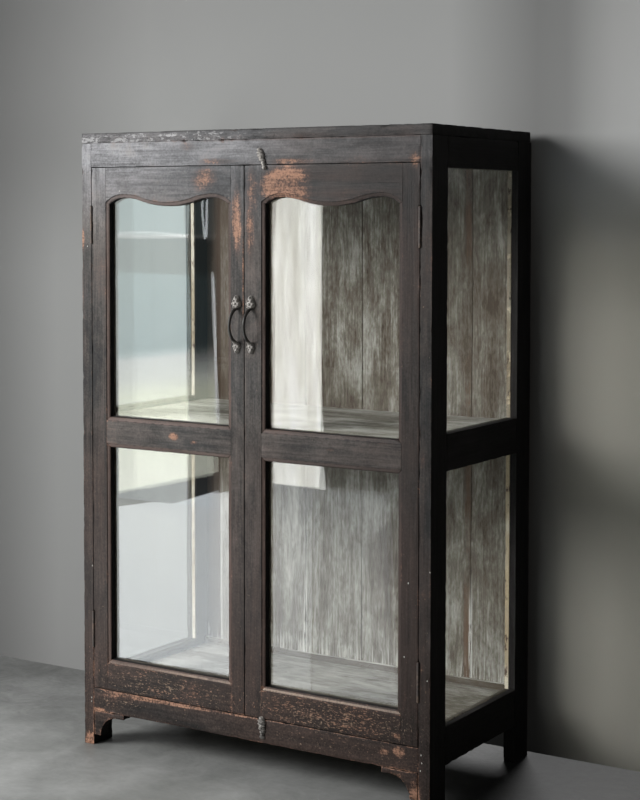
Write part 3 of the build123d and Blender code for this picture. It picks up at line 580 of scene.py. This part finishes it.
# %% [markdown]
# ## Glass
# The panes are clear drawn glass, a little wavy, so what they mirror bends slightly. The waves
# are in the mesh, because a Bump this shallow breaks up into pebbles. The panes are real slabs
# with two faces. A slab would throw a grey shadow, so they are told to cast none.

# %% Draw the glass
pane_glass = Finish("drawn_window_glass").surface(
    Base_Color=colour(0.955, 0.975, 0.965), Roughness=0.0, IOR=1.5, Transmission_Weight=1.0
)
print(pane_glass.name)

# %% [markdown]
# ## Iron
# The pulls and turn buttons are blackened cast iron that fingers have rubbed grey-brown on
# the high points. Cycles finds those by itself: Pointiness is above one half where the skin
# bulges and below it in the hollows. The bows between the plates stayed black and glossy. The
# hinges are plain dark iron with a bloom of rust.

# %% Draw the iron
BOW_HEIGHTS, BOW_BLACK = (1.047, 1.127), colour(0.012, 0.011, 0.01)
RUST = colour(0.075, 0.04, 0.024)


def iron(name, dark, rubbed, share, metal, bow=(0, 0)):
    """Iron that is rubbed bright, but stays black between two heights."""
    finish = Finish(name)
    where = place(finish)
    z = axis_of(where, "Z")
    pits = noise(where, 420, 4, 0.6)
    wear = noise(where, 110, 5, 0.6)
    bulge = finish.node("NewGeometry", output="Pointiness")
    touched = wear * 0.5 + (bulge - 0.5) * 2.0 - step(z, 0.22, 0.2) * 0.1
    skin = blend(step(touched, share, share + 0.16), dark, rubbed)
    skin = blend(step(pits, 0.6, 0.68) * 0.4, skin, RUST)
    black = step(z, bow[0] - 0.003, bow[0] + 0.003) * step(z, bow[1] + 0.003, bow[1] - 0.003)
    skin = blend(black * 0.9, skin, BOW_BLACK)
    rough = 0.58 - wear * 0.3 + pits * 0.1 - black * 0.14
    bump = bumped(finish, pits, 0.0003)
    return finish.surface(Base_Color=skin, Metallic=metal, Roughness=rough, Normal=bump)


IRON_DARK, IRON_RUBBED = colour(0.05, 0.045, 0.041), colour(0.42, 0.395, 0.365)
HINGE_DARK, HINGE_RUBBED = colour(0.08, 0.066, 0.06), colour(0.2, 0.14, 0.105)
cast_iron = iron("rubbed_cast_iron", IRON_DARK, IRON_RUBBED, 0.09, 0.12, BOW_HEIGHTS)
hinge_iron = iron("dark_hinge_iron", HINGE_DARK, HINGE_RUBBED, 0.28, 0.2)
print(cast_iron.name, hinge_iron.name)

# %% [markdown]
# ## Weathering the timbers
# The joinery is crisp, with perfect corners and dead flat faces. A century of use rounds and
# chips the corners and leaves the faces a little uneven, so that each flush joint becomes a
# fine dark groove. Each timber is copied, its loose triangles are merged into whole faces, its
# corners are rounded with a Bevel, and a grid is cut across it with Bisect, because a face can
# only bend where it has vertices. Two Displace modifiers then push the skin inwards: one gently
# all over, one sharply near the arrises. Both read their noise in world space, so faces that
# lie flush stay flush.

# %% Two sorts of unevenness
def clouds(name, size, depth, contrast, brightness):
    texture = bpy.data.textures.new(name, "CLOUDS")
    settle(texture, noise_scale=size, noise_depth=depth, contrast=contrast, intensity=brightness)
    return settle(texture, use_clamp=True)


uneven = clouds("uneven_face", 0.09, 2, 1.0, 0.9)
chipped = clouds("chipped_arris", 0.016, 4, 4.5, 0.4)
waves = clouds("drawn_waves", 0.32, 0, 1.0, 1.0)
print(uneven.name, chipped.name, waves.name)

# %% [markdown]
# The noise needs to know how near an arris it is. So we walk along every sharp edge of the
# crisp timber, note a point every few millimetres, and let each vertex of the finished mesh
# look up its nearest point. The answer, 1 on the arris and 0 further in, is kept twice: as a
# vertex group for the modifiers, and as an attribute for the paint. Sharp edges in a hollow,
# as where a moulding starts, are kept apart as creases, where dirt gathers. An edge is hollow
# when its second face rises above the plane of the first.

# %% Find the arrises
SHARP = radians(40)
ARRIS_REACH, CREASE_REACH, ARRIS_SPACING = 0.009, 0.003, 0.004


def sharp_edges(mesh):
    """Points along the sharp edges of a mesh: those that stand out, and those in a hollow."""
    sides = {}
    for polygon in mesh.polygons:
        for key in polygon.edge_keys:
            sides.setdefault(key, []).append(polygon)
    standing, hollow = [], []
    for (first, last), faces in sides.items():
        if len(faces) == 2 and faces[0].normal.angle(faces[1].normal, 0) > SHARP:
            start, end = mesh.vertices[first].co, mesh.vertices[last].co
            count = max(1, round((end - start).length / ARRIS_SPACING))
            rises = (faces[1].center - faces[0].center).dot(faces[0].normal) > 0
            (hollow if rises else standing).extend(start.lerp(end, i / count) for i in range(count + 1))
    return standing, hollow


def nearness(piece, points, reach):
    """For each vertex, 1 at the nearest of the points and 0 beyond reach."""
    if not points:
        return [0.0] * len(piece.data.vertices)
    tree = KDTree(len(points))
    for i, point in enumerate(points):
        tree.insert(point, i)
    tree.balance()
    return [max(0.0, 1 - tree.find(vertex.co)[2] / reach) for vertex in piece.data.vertices]


def note_arrises(piece, standing, hollow):
    near = nearness(piece, standing, ARRIS_REACH)
    group = piece.vertex_groups.new(name="chips")
    for i, share in enumerate(near):
        group.add([i], share, "REPLACE")
    for name, values in (("arris", near), ("crease", nearness(piece, hollow, CREASE_REACH))):
        piece.data.attributes.new(name, "FLOAT", "POINT")
        piece.data.attributes[name].data.foreach_set("value", values)


print("arrises within", ARRIS_REACH * 1000, "mm, creases within", CREASE_REACH * 1000, "mm")

# %% [markdown]
# An operator acts on all that is selected, so everything else is deselected first.

# %% Weather one timber
CELL, CUT_MARGIN, GLASS_WAVE = 0.014, 0.002, 0.0005


def only(*pieces):
    bpy.ops.object.select_all(action="DESELECT")
    for piece in pieces:
        piece.select_set(True)
    bpy.context.view_layer.objects.active = pieces[0]


def edit(*steps):
    """Runs a few edit mode operators on the whole active mesh."""
    bpy.ops.object.mode_set(mode="EDIT")
    for operator, settings in steps:
        bpy.ops.mesh.select_all(action="SELECT")
        operator(**settings)
    bpy.ops.object.mode_set(mode="OBJECT")


def modify(piece, kind, **settings):
    modifier = settle(piece.modifiers.new(kind.title(), kind), **settings)
    bpy.ops.object.modifier_apply(modifier=modifier.name)


def sink(piece, texture, depth, **settings):
    """Pushes the skin inwards by up to depth, where a texture in world space is pale."""
    settings.update(texture=texture, texture_coords="GLOBAL", strength=-depth, mid_level=0)
    modify(piece, "DISPLACE", **settings)


def copied(name, ending):
    piece = nodes[name].copy()
    piece.data = nodes[name].data.copy()
    piece.name = name + ending
    for key in list(piece.keys()):
        del piece[key]
    piece.parent = None
    bpy.context.scene.collection.objects.link(piece)
    only(piece)
    edit((bpy.ops.mesh.remove_doubles, {"threshold": 1e-6}))
    edit((bpy.ops.mesh.dissolve_limited, {"angle_limit": radians(0.5)}))
    return piece


def cut_grid(piece, cell):
    """Cuts the piece every cell metres along each axis, on lines shared by its neighbours."""
    corners = [piece.matrix_world @ Vector(corner) for corner in piece.bound_box]
    cuts = []
    for axis in range(3):
        low = min(corner[axis] for corner in corners)
        high = max(corner[axis] for corner in corners)
        normal = [float(axis == i) for i in range(3)]
        for i in range(int(low // cell) + 1, int(high // cell) + 1):
            if low + CUT_MARGIN < i * cell < high - CUT_MARGIN:
                at = [i * cell * side for side in normal]
                cuts.append((bpy.ops.mesh.bisect, {"plane_co": at, "plane_no": normal}))
    edit(*cuts)


def stands_for(piece, name, smooth):
    """Lets a finished piece take the place of a node, smooth up to an angle in degrees."""
    bpy.ops.object.shade_smooth_by_angle(angle=radians(smooth))
    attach(piece, body_of[name])
    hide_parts(name)
    return piece


def held_in(piece, name):
    """Brings back what a sharp corner threw out of the crisp timber's own box."""
    low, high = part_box(name)
    for vertex in piece.data.vertices:
        vertex.co = [min(max(vertex.co[i], low[i]), high[i]) for i in range(3)]


def weathered(name, cell=CELL, rounding=0.0009, chip=0.0022, sunk=0.0005, smooth=30):
    piece = copied(name, "_worn")
    standing, hollow = sharp_edges(piece.data)
    modify(piece, "BEVEL", width=rounding, segments=2, limit_method="ANGLE", angle_limit=SHARP)
    cut_grid(piece, cell)
    note_arrises(piece, standing, hollow)
    sink(piece, uneven, sunk)
    sink(piece, chipped, chip, vertex_group="chips")
    held_in(piece, name)
    return stands_for(piece, name, smooth)


def drawn(name):
    """A pane whose faces wave by a few tenths of a millimetre, as drawn glass does."""
    piece = copied(name, "_drawn")
    cut_grid(piece, 2 * CELL)
    sink(piece, waves, GLASS_WAVE)
    piece.visible_shadow = False
    return stands_for(piece, name, 30)


print("cells of", CELL * 1000, "mm")

# %% [markdown]
# ## The castings
# The pulls and turn buttons were poured in sand, so their forms run softly into each other.
# Swellings, which are stretched balls, are laid over each other, and Remesh melts them into one
# skin. A little smoothing gives the hollows between them the soft bottom that sand leaves, and
# a cut makes the back flat.

# %% Swellings and melting
GRAIN_OF_SAND = 0.0006


def swelling(middle, halves, lean=0):
    """A stretched ball, leaning by some degrees in the plane of the door."""
    bpy.ops.mesh.primitive_uv_sphere_add(segments=24, ring_count=16, radius=1, location=middle)
    made = bpy.context.object
    made.scale = halves
    made.rotation_euler = (0, radians(lean), 0)
    bpy.ops.object.transform_apply(location=True, rotation=True, scale=True)
    return made


def melted(name, lumps, back):
    """One skin round all the lumps, cut flat at the back and fitted to the box of its node."""
    only(*lumps)
    bpy.ops.object.join()
    piece = bpy.context.object
    piece.name = name + "_cast"
    modify(piece, "REMESH", mode="VOXEL", voxel_size=GRAIN_OF_SAND)
    modify(piece, "SMOOTH", factor=0.6, iterations=3)
    cut = {"plane_co": (0, back, 0), "plane_no": (0, 1, 0), "clear_outer": True, "use_fill": True}
    edit((bpy.ops.mesh.bisect, cut))
    fitted(piece, name)
    return stands_for(piece, name, 50)


def fitted(piece, name):
    low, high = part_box(name)
    for axis in range(3):
        values = [vertex.co[axis] for vertex in piece.data.vertices]
        first, last = min(values), max(values)
        stretch = (high[axis] - low[axis]) / (last - first)
        for vertex in piece.data.vertices:
            vertex.co[axis] = low[axis] + (vertex.co[axis] - first) * stretch


print("castings are melted at", GRAIN_OF_SAND * 1000, "mm")

# %% [markdown]
# ### The pulls
# Each end plate is a scaly acorn: a round body that narrows to a blunt tip, under three rows of
# raised scales. The bow is a Bezier curve, an arc drawn with the usual handle length of
# 4/3 tan(a/4), thicker where it grows out of the plates.

# %% Cast the pulls
# Each swelling: along and across the plate, half length, half width, height.
PLATE_SWELLINGS = (
    (0.38, 0.00, 0.38, 0.90, 0.82),
    (0.70, 0.00, 0.29, 0.62, 0.74),
    (0.16, -0.34, 0.12, 0.34, 0.92),
    (0.16, 0.34, 0.12, 0.34, 0.92),
    (0.38, -0.62, 0.14, 0.34, 0.86),
    (0.38, 0.00, 0.15, 0.36, 1.06),
    (0.38, 0.62, 0.14, 0.34, 0.86),
    (0.60, -0.34, 0.13, 0.32, 0.96),
    (0.60, 0.34, 0.13, 0.32, 0.96),
    (0.82, 0.00, 0.14, 0.32, 0.90),
)
PULL_MIDDLE, PULL_HALF_SPAN, PULL_REACH = 1.084, 0.042, 0.036
BOW_RADIUS, BOW_SWELL = 0.0034, 0.35
UPPER_PLATE, LOWER_PLATE = (0.033, 0.013, 0.0125), (0.027, 0.0105, 0.0105)


def plate(x, foot, up, size):
    """An end plate that grows from foot, upwards when up is 1 and downwards when it is -1."""
    length, half, thickness = size
    lumps = []
    for along, across, half_long, half_wide, height in PLATE_SWELLINGS:
        middle = (x + across * half, FRONT_FACE, foot + up * along * length)
        lumps.append(swelling(middle, (half_wide * half, height * thickness, half_long * length)))
    return lumps


def bow(x):
    """An arc of round iron that springs from the door."""
    sagitta = PULL_REACH - BOW_RADIUS
    radius = (PULL_HALF_SPAN**2 + sagitta**2) / (2 * sagitta)
    turn = atan2(PULL_HALF_SPAN, radius - sagitta)
    reach = 4 / 3 * tan(turn / 4) * radius
    crest = FRONT_FACE - sagitta
    bpy.ops.curve.primitive_bezier_curve_add()
    made = bpy.context.object
    points = made.data.splines[0].bezier_points
    points.add(1)
    for point, way in zip(points, (1, 0, -1)):
        angle = turn * way
        across, along = sin(angle), cos(angle)
        middle = Vector((x, crest + radius - along * radius, PULL_MIDDLE + across * radius))
        step_down = Vector((0, -across, -along)) * reach
        point.handle_left_type = point.handle_right_type = "FREE"
        point.co = middle
        point.handle_left, point.handle_right = middle - step_down, middle + step_down
        point.radius = 1 + BOW_SWELL * abs(way)
    settle(made.data, bevel_depth=BOW_RADIUS, bevel_resolution=5, resolution_u=24, use_fill_caps=True)
    only(made)
    bpy.ops.object.convert(target="MESH")
    return bpy.context.object


def cast_pull(name):
    low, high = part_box(name)
    x = (low.x + high.x) / 2
    upper = plate(x, PULL_MIDDLE + PULL_HALF_SPAN - BOW_RADIUS, 1, UPPER_PLATE)
    lower = plate(x, PULL_MIDDLE - PULL_HALF_SPAN + BOW_RADIUS, -1, LOWER_PLATE)
    return melted(name, [*upper, *lower, bow(x)], FRONT_FACE)


castings = {name: cast_pull(name) for name in ("left_door_pull", "right_door_pull")}
print({name: len(piece.data.polygons) for name, piece in castings.items()})

# %% [markdown]
# ### The turn buttons
# A button is a fat scroll: slanting ridges over a thick core, a waist, and a small lobe at the
# end of its tail. It swings on a round-headed screw, which is the joinery's own with a softer
# head and a slot sunk with a Boolean.

# %% Cast the turn buttons
# Each swelling: up and across from the screw, half length, half width, height, in mm, and lean.
BUTTON_SWELLINGS = (
    (7.0, 0.0, 18.0, 9.2, 7.4, 0),
    (20.0, 0.0, 3.6, 7.6, 9.0, 18),
    (12.6, -0.3, 3.3, 10.6, 10.4, 18),
    (5.2, -0.3, 3.2, 11.0, 10.4, 18),
    (-5.8, 0.2, 3.2, 9.4, 9.0, 18),
    (-12.5, 0.8, 5.0, 6.6, 7.2, 0),
    (-17.5, 1.0, 5.5, 4.8, 6.2, 0),
    (-24.0, 1.0, 5.0, 6.6, 8.2, 10),
)
BUTTON_BACK = FRONT_FACE - 0.0005
BUTTON_TILT = {"top_turn_button": 18, "bottom_turn_button": 0}
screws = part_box("turn_button_screws")
SCREW_X = (screws[0].x + screws[1].x) / 2
SCREW_HEAD = 0.0038
SCREW_LEVELS = {"top_turn_button": screws[1].z - SCREW_HEAD, "bottom_turn_button": screws[0].z + SCREW_HEAD}


def cast_button(name):
    turn = radians(BUTTON_TILT[name])
    lumps = []
    for up, across, half_long, half_wide, height, lean in BUTTON_SWELLINGS:
        x = SCREW_X + (across * cos(turn) - up * sin(turn)) / 1000
        z = SCREW_LEVELS[name] + (across * sin(turn) + up * cos(turn)) / 1000
        halves = (half_wide / 1000, height / 1000, half_long / 1000)
        lumps.append(swelling((x, BUTTON_BACK, z), halves, lean - BUTTON_TILT[name]))
    return melted(name, lumps, BUTTON_BACK)


castings.update({name: cast_button(name) for name in BUTTON_TILT})
print({name: len(piece.data.polygons) for name, piece in castings.items()})

# %% Slot the screws
SLOT_WIDTH, SLOT_DEPTH, SLOT_TURNS = 0.0011, 0.0012, (35, -20)


def slotted_screws(name):
    piece = copied(name, "_slotted")
    modify(piece, "BEVEL", width=0.0007, segments=3, limit_method="ANGLE", angle_limit=SHARP)
    crown = screws[0].y
    for level, turn in zip(SCREW_LEVELS.values(), SLOT_TURNS):
        middle = (SCREW_X, crown, level)
        bpy.ops.mesh.primitive_cube_add(size=1, location=middle, rotation=(0, radians(turn), 0))
        cutter = bpy.context.object
        cutter.scale = (4 * SCREW_HEAD, 2 * SLOT_DEPTH, SLOT_WIDTH)
        only(piece)
        modify(piece, "BOOLEAN", operation="DIFFERENCE", solver="EXACT", object=cutter)
        bpy.data.objects.remove(cutter)
    return stands_for(piece, name, 35)


castings["turn_button_screws"] = slotted_screws("turn_button_screws")
print(len(castings), "castings and screws")

# %% [markdown]
# ## Put the finishes on
# A board looks wrong when its grain runs across it, so each timber takes the paint whose
# fibres run along its longest side.

# %% Finish every piece
def longest_side(name):
    low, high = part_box(name)
    size = high - low
    return "XYZ"[max(range(3), key=lambda axis: size[axis])]


def finish_of(name):
    if "glass" in name:
        return pane_glass
    if "beads" in name:
        return bead_paint
    if name.startswith("back_board") or name == "side_cleats":
        return wash_along["Z"]
    if name.startswith(("shelf", "floor")):
        return wash_along["X"]
    if "turn_button" in name or "pull" in name:
        return cast_iron
    if "hinge_leaves" in name or name == "hinge_pins":
        return hinge_iron
    return paint_along[longest_side(name)]


def give(piece, material):
    piece.data.materials.clear()
    piece.data.materials.append(material)


# How each sort of piece is weathered: grid, rounding and depth of the chips, in metres.
BEAD_WEAR = {"cell": 0.028, "rounding": 0.0006, "chip": 0.0009, "sunk": 0.0002}
HINGE_WEAR = {"cell": 0.012, "rounding": 0.0003, "chip": 0.0003, "sunk": 0.0001, "smooth": 35}
DOOR_WEAR = {"rounding": 0.0004, "chip": 0.0008}
wear_of = {bead_paint: BEAD_WEAR, hinge_iron: HINGE_WEAR}
triangles = 0
for name in nodes:
    material = finish_of(name)
    if name in castings:
        piece = castings[name]
    elif material is pane_glass:
        piece = drawn(name)
    else:
        piece = weathered(name, **wear_of.get(material, DOOR_WEAR if "_door_" in name else {}))
    give(piece, material)
    triangles += sum(len(polygon.vertices) - 2 for polygon in piece.data.polygons)
print(triangles, "triangles", {material.name: material.users for material in bpy.data.materials})

# %% [markdown]
# ## The studio
# The floor is pale concrete. The wall is a pale sheet close behind the cabinet. It is
# one-sided, so the back of the cabinet can be looked at too, and it throws no shadow. Both carry
# painted light and shade: the floor is paler in front and has a painted shadow of the cabinet,
# and the wall is painted lighter and darker where the light and the cabinet's shadow fall.

# %% Lay the floor and hang the wall
WALL_Y = 0.302
FLOOR_WIDTH, FLOOR_DEPTH, FLOOR_BEHIND, WALL_HEIGHT = 14.0, 13.0, 3.0, 6.0
FLAT, UPRIGHT = (0, 0, 0), (radians(90), 0, 0)


def plaster(name, dark, pale, scale):
    finish = Finish(name)
    clouds = noise(place(finish), scale, 6, 0.6)
    return finish, blend(step(clouds, 0.3, 0.7), dark, pale)


def polished(where):
    """The veins and scuffs that a power float leaves in concrete."""
    veins = noise(where, 9, 8, 0.68, 1.6) - 0.5
    return veins * 0.55 + waver(where, (1, 2.2, 1), (3, 1, 0), 5, 0.7, scale=42) * 0.3


def sheet(name, size, middle, turn):
    bpy.ops.mesh.primitive_plane_add(size=1, location=middle, rotation=turn)
    made = bpy.context.object
    made.name = name
    made.scale = (*size, 1)
    bpy.ops.object.transform_apply(location=True, rotation=True, scale=True)
    return made


def one_sided(finish):
    """Lets everything through that comes from behind the sheet."""
    behind = finish.node("NewGeometry", output="Backfacing")
    solid = Wire(finish, finish.shader.outputs[0])
    see_through = finish.node("BsdfTransparent")
    mixed = finish.node("MixShader", None, {0: behind, 1: solid, 2: see_through})
    finish.tree.links.new(mixed.socket, finish.tree.nodes["Material Output"].inputs["Surface"])


bpy.ops.object.select_all(action="DESELECT")
floor_middle = (0, WALL_Y + FLOOR_BEHIND - FLOOR_DEPTH / 2, 0)
floor = sheet("studio_floor", (FLOOR_WIDTH, FLOOR_DEPTH), floor_middle, FLAT)
finish, skin = plaster("pale_concrete", colour(0.23, 0.235, 0.225), colour(0.4, 0.405, 0.395), 2.6)
where = place(finish)
x, y = axes(where, "XY")
floated = polished(where)
# Painted light and shadow on the floor: paler towards the front, and darker to the right of the cabinet, a
# painted shadow of it.
bright = floated * 1.1 + step(y, 0.15, -0.6) * 0.95 + 0.56
shaded = step(x, 0.36, 0.52) * step(y, -0.6, -0.2)
skin = dimmed(skin, bright.most(0.3) * (1 - shaded * 0.88))
give(floor, finish.surface(Base_Color=skin, Roughness=0.42 - floated * 0.35, Specular_IOR_Level=0.35))

# Painted light and shadow on the wall from left to right, as how pale the plaster is painted: place in
# metres, then low and high on the wall.
WALL_LIGHT_AND_SHADOW = (
    (-1.35, 0.150, 0.125), (-1.25, 0.186, 0.142), (-1.05, 0.290, 0.205), (-0.70, 0.310, 0.325),
    (-0.19, 0.300, 0.410), (0.26, 0.290, 0.465), (0.50, 0.150, 0.280), (0.58, 0.165, 0.300),
    (0.64, 0.215, 0.400), (0.70, 0.255, 0.480), (0.78, 0.290, 0.530),
)
TABLE_START, TABLE_LENGTH = -1.4, 2.2
wall = sheet("studio_wall", (FLOOR_WIDTH, WALL_HEIGHT), (0, WALL_Y, WALL_HEIGHT / 2), UPRIGHT)
finish, skin = plaster("pale_plaster", colour(0.95, 0.96, 0.94), colour(1.0, 1.0, 0.98), 0.8)
x, z = axes(place(finish), "XZ")
along = (x - TABLE_START) * (1 / TABLE_LENGTH)
low_down, high_up = (
    finish.node(
        "ValToRGB",
        {"stops": [((row[0] - TABLE_START) / TABLE_LENGTH, (row[column],) * 3) for row in WALL_LIGHT_AND_SHADOW]},
        {0: along},
    )
    for column in (1, 2)
)
# Painted light and shade on the wall: paler or darker along it as the light falls, darker high up, and a
# warm tint in the cabinet's painted shadow low on the right.
pale = axis_of(blend(step(z, 1.12, 1.58), low_down, high_up), "X") * (1 - step(z, 1.66, 2.02) * 0.13)
skin = blend(step(x, 0.45, 0.6) * step(z, 1.5, 1.2), skin, colour(0.98, 0.94, 0.82))
give(wall, finish.surface(Base_Color=dimmed(skin, pale), Roughness=0.9, Specular_IOR_Level=0.1))
one_sided(finish)
settle(wall, visible_diffuse=False, visible_shadow=False)
print("floor and wall")

# %% [markdown]
# ## Light
# One large soft lamp stands high on the left in front, like the window of a workshop, with weak
# even light from all round. Glass shows only what it mirrors, so soft boxes stand and bright
# sheets lie where the panes look. They are seen in glass and polish, and light almost nothing.
# The left box is brighter towards its foot, has dark and white bars across it, and is dim at
# its right end, beside a white post and a leaning stand. The right one is a curtain in folds.

# %% Hang the lamps
def lamp(name, middle, target, size, power):
    towards = Vector(target) - Vector(middle)
    turn = towards.to_track_quat("-Z", "Y").to_euler()
    bpy.ops.object.light_add(type="AREA", location=middle, rotation=turn)
    made = bpy.context.object
    made.name = name
    settle(made.data, shape="RECTANGLE", size=size[0], size_y=size[1], energy=power)
    return made


# Height over the floor in metres, and the colour there.
BOX_BANDS = (
    (0.10, (0.98, 1.00, 0.86)), (0.47, (0.90, 0.94, 0.76)), (0.55, (0.74, 0.77, 0.72)),
    (0.64, (0.66, 0.69, 0.68)), (0.665, (0.42, 0.52, 0.53)), (0.69, (0.27, 0.37, 0.39)),
    (1.068, (0.30, 0.40, 0.41)), (1.074, (0.20, 0.25, 0.25)), (1.240, (0.20, 0.25, 0.25)),
    (1.243, (0.88, 0.90, 0.90)), (1.250, (0.88, 0.90, 0.90)), (1.253, (0.36, 0.46, 0.47)),
)
BANDS_HEIGHT = 2
BOX_LEFT, BOX_DIM_FROM, BOX_SLOPE = -2.845, -2.392, 0.133
BOX_WIDTH, BOX_HEIGHT, BOXES_Y = 0.615, 1.632, -3.2
WINDOW_LIGHT = colour(0.93, 0.97, 1.0)
FOOT_GREY, GLEAM = colour(0.2, 0.215, 0.225), colour(0.6, 0.64, 0.67)


def banded(finish):
    """Bands over the height of the left soft box, whose lower ones rise to the right."""
    x, z = axes(place(finish), "XZ")
    height = z - (x - BOX_LEFT) * BOX_SLOPE * step(z, 1.05, 0.85)
    bands = [(level / BANDS_HEIGHT, shade) for level, shade in BOX_BANDS]
    glow = finish.node("ValToRGB", {"stops": bands}, {0: height * (1 / BANDS_HEIGHT)})
    dim = step(x, BOX_DIM_FROM - 0.004, BOX_DIM_FROM + 0.004)
    edge = step(x, -2.7, -2.712) * 0.22
    foot = step(z - (x - BOX_LEFT) * 0.236 - 0.026, 0.005, -0.005)
    dimness = dim * (0.92 - step(height, 0.69, 0.5) * 0.36 * (1 - foot))
    glow = dimmed(blend(foot, glow, FOOT_GREY), 1 - edge - dimness)
    return blend(step(z - (x - BOX_DIM_FROM) * 0.326 - 0.037, 0.004, -0.004), glow, GLEAM)


def folded(finish):
    """A white curtain, a little warmer and darker in its folds."""
    folds = noise(stretched(place(finish), (15, 1, 1.1)), 1, 5, 0.6, 0.5)
    return blend(step(folds, 0.36, 0.62), colour(0.74, 0.73, 0.66), colour(1.0, 1.0, 0.97))


def mirrored(name, size, middle, turn, strength, drawn_glow=None):
    """A bright sheet that is only seen in mirrors and gloss, and from above if it lies flat."""
    made = sheet(name, size, middle, turn)
    finish = Finish(name)
    glow = drawn_glow(finish) if drawn_glow else WINDOW_LIGHT
    give(made, finish.surface(Base_Color=colour(0, 0, 0), Emission_Color=glow, Emission_Strength=strength))
    if turn == FLAT:
        one_sided(finish)
    return settle(made, visible_camera=False, visible_diffuse=False, visible_shadow=False)


# Each bright patch of floor fills one pane's mirrored view. Its strength, and then its near
# left, near right, far left and far right corner in metres.
GLARES = {
    "bright_floor_left": (4.5, (-1.15, -0.84), (-0.48, -0.84), (-2.71, -2.86), (-2.44, -3.78)),
    "bright_floor_right": (2.2, (-0.44, -0.80), (-0.20, -0.80), (-2.48, -4.00), (-2.21, -4.00)),
    "bright_floor_far": (1.3, (-0.195, -0.80), (0.08, -0.80), (-2.20, -4.00), (-1.80, -4.00)),
}
key = lamp("key", (-2.7, -3.3, 2.5), (0, -0.1, 0.8), (2.4, 1.8), 200)
back = lamp("back", (-0.9, 3.6, 2.6), (0, 0.2, 0.8), (2.0, 2.0), 60)
box_middle = (BOX_LEFT + BOX_WIDTH / 2, BOXES_Y, 0.824)
mirrored("left_soft_box", (BOX_WIDTH, BOX_HEIGHT), box_middle, UPRIGHT, 7.5, banded)
mirrored("right_soft_box", (0.27, 1.6), (-1.805, BOXES_Y, 0.95), UPRIGHT, 8.6, folded)
mirrored("white_post", (0.013, 0.2), (-2.283, -3.19, 1.34), UPRIGHT, 7)
mirrored("leaning_stand", (0.016, 0.7), (-2.224, -3.18, 0.73), (radians(90), radians(-2.3), 0), 4)
for name, (strength, *corners) in GLARES.items():
    patch = mirrored(name, (1, 1), (0, 0, 0.004), FLAT, strength).data
    near_to_far = sorted(patch.vertices, key=lambda vertex: (-vertex.co.y, vertex.co.x))
    for vertex, corner in zip(near_to_far, corners):
        vertex.co.x, vertex.co.y = corner

world = bpy.data.worlds.new("studio")
world.use_nodes = True
bpy.context.scene.world = world
background = world.node_tree.nodes["Background"].inputs
background["Color"].default_value = colour(0.95, 0.98, 1.0)
background["Strength"].default_value = 0.09
bpy.context.scene.view_settings.view_transform = "Standard"
print("lamps", key.data.energy, back.data.energy)
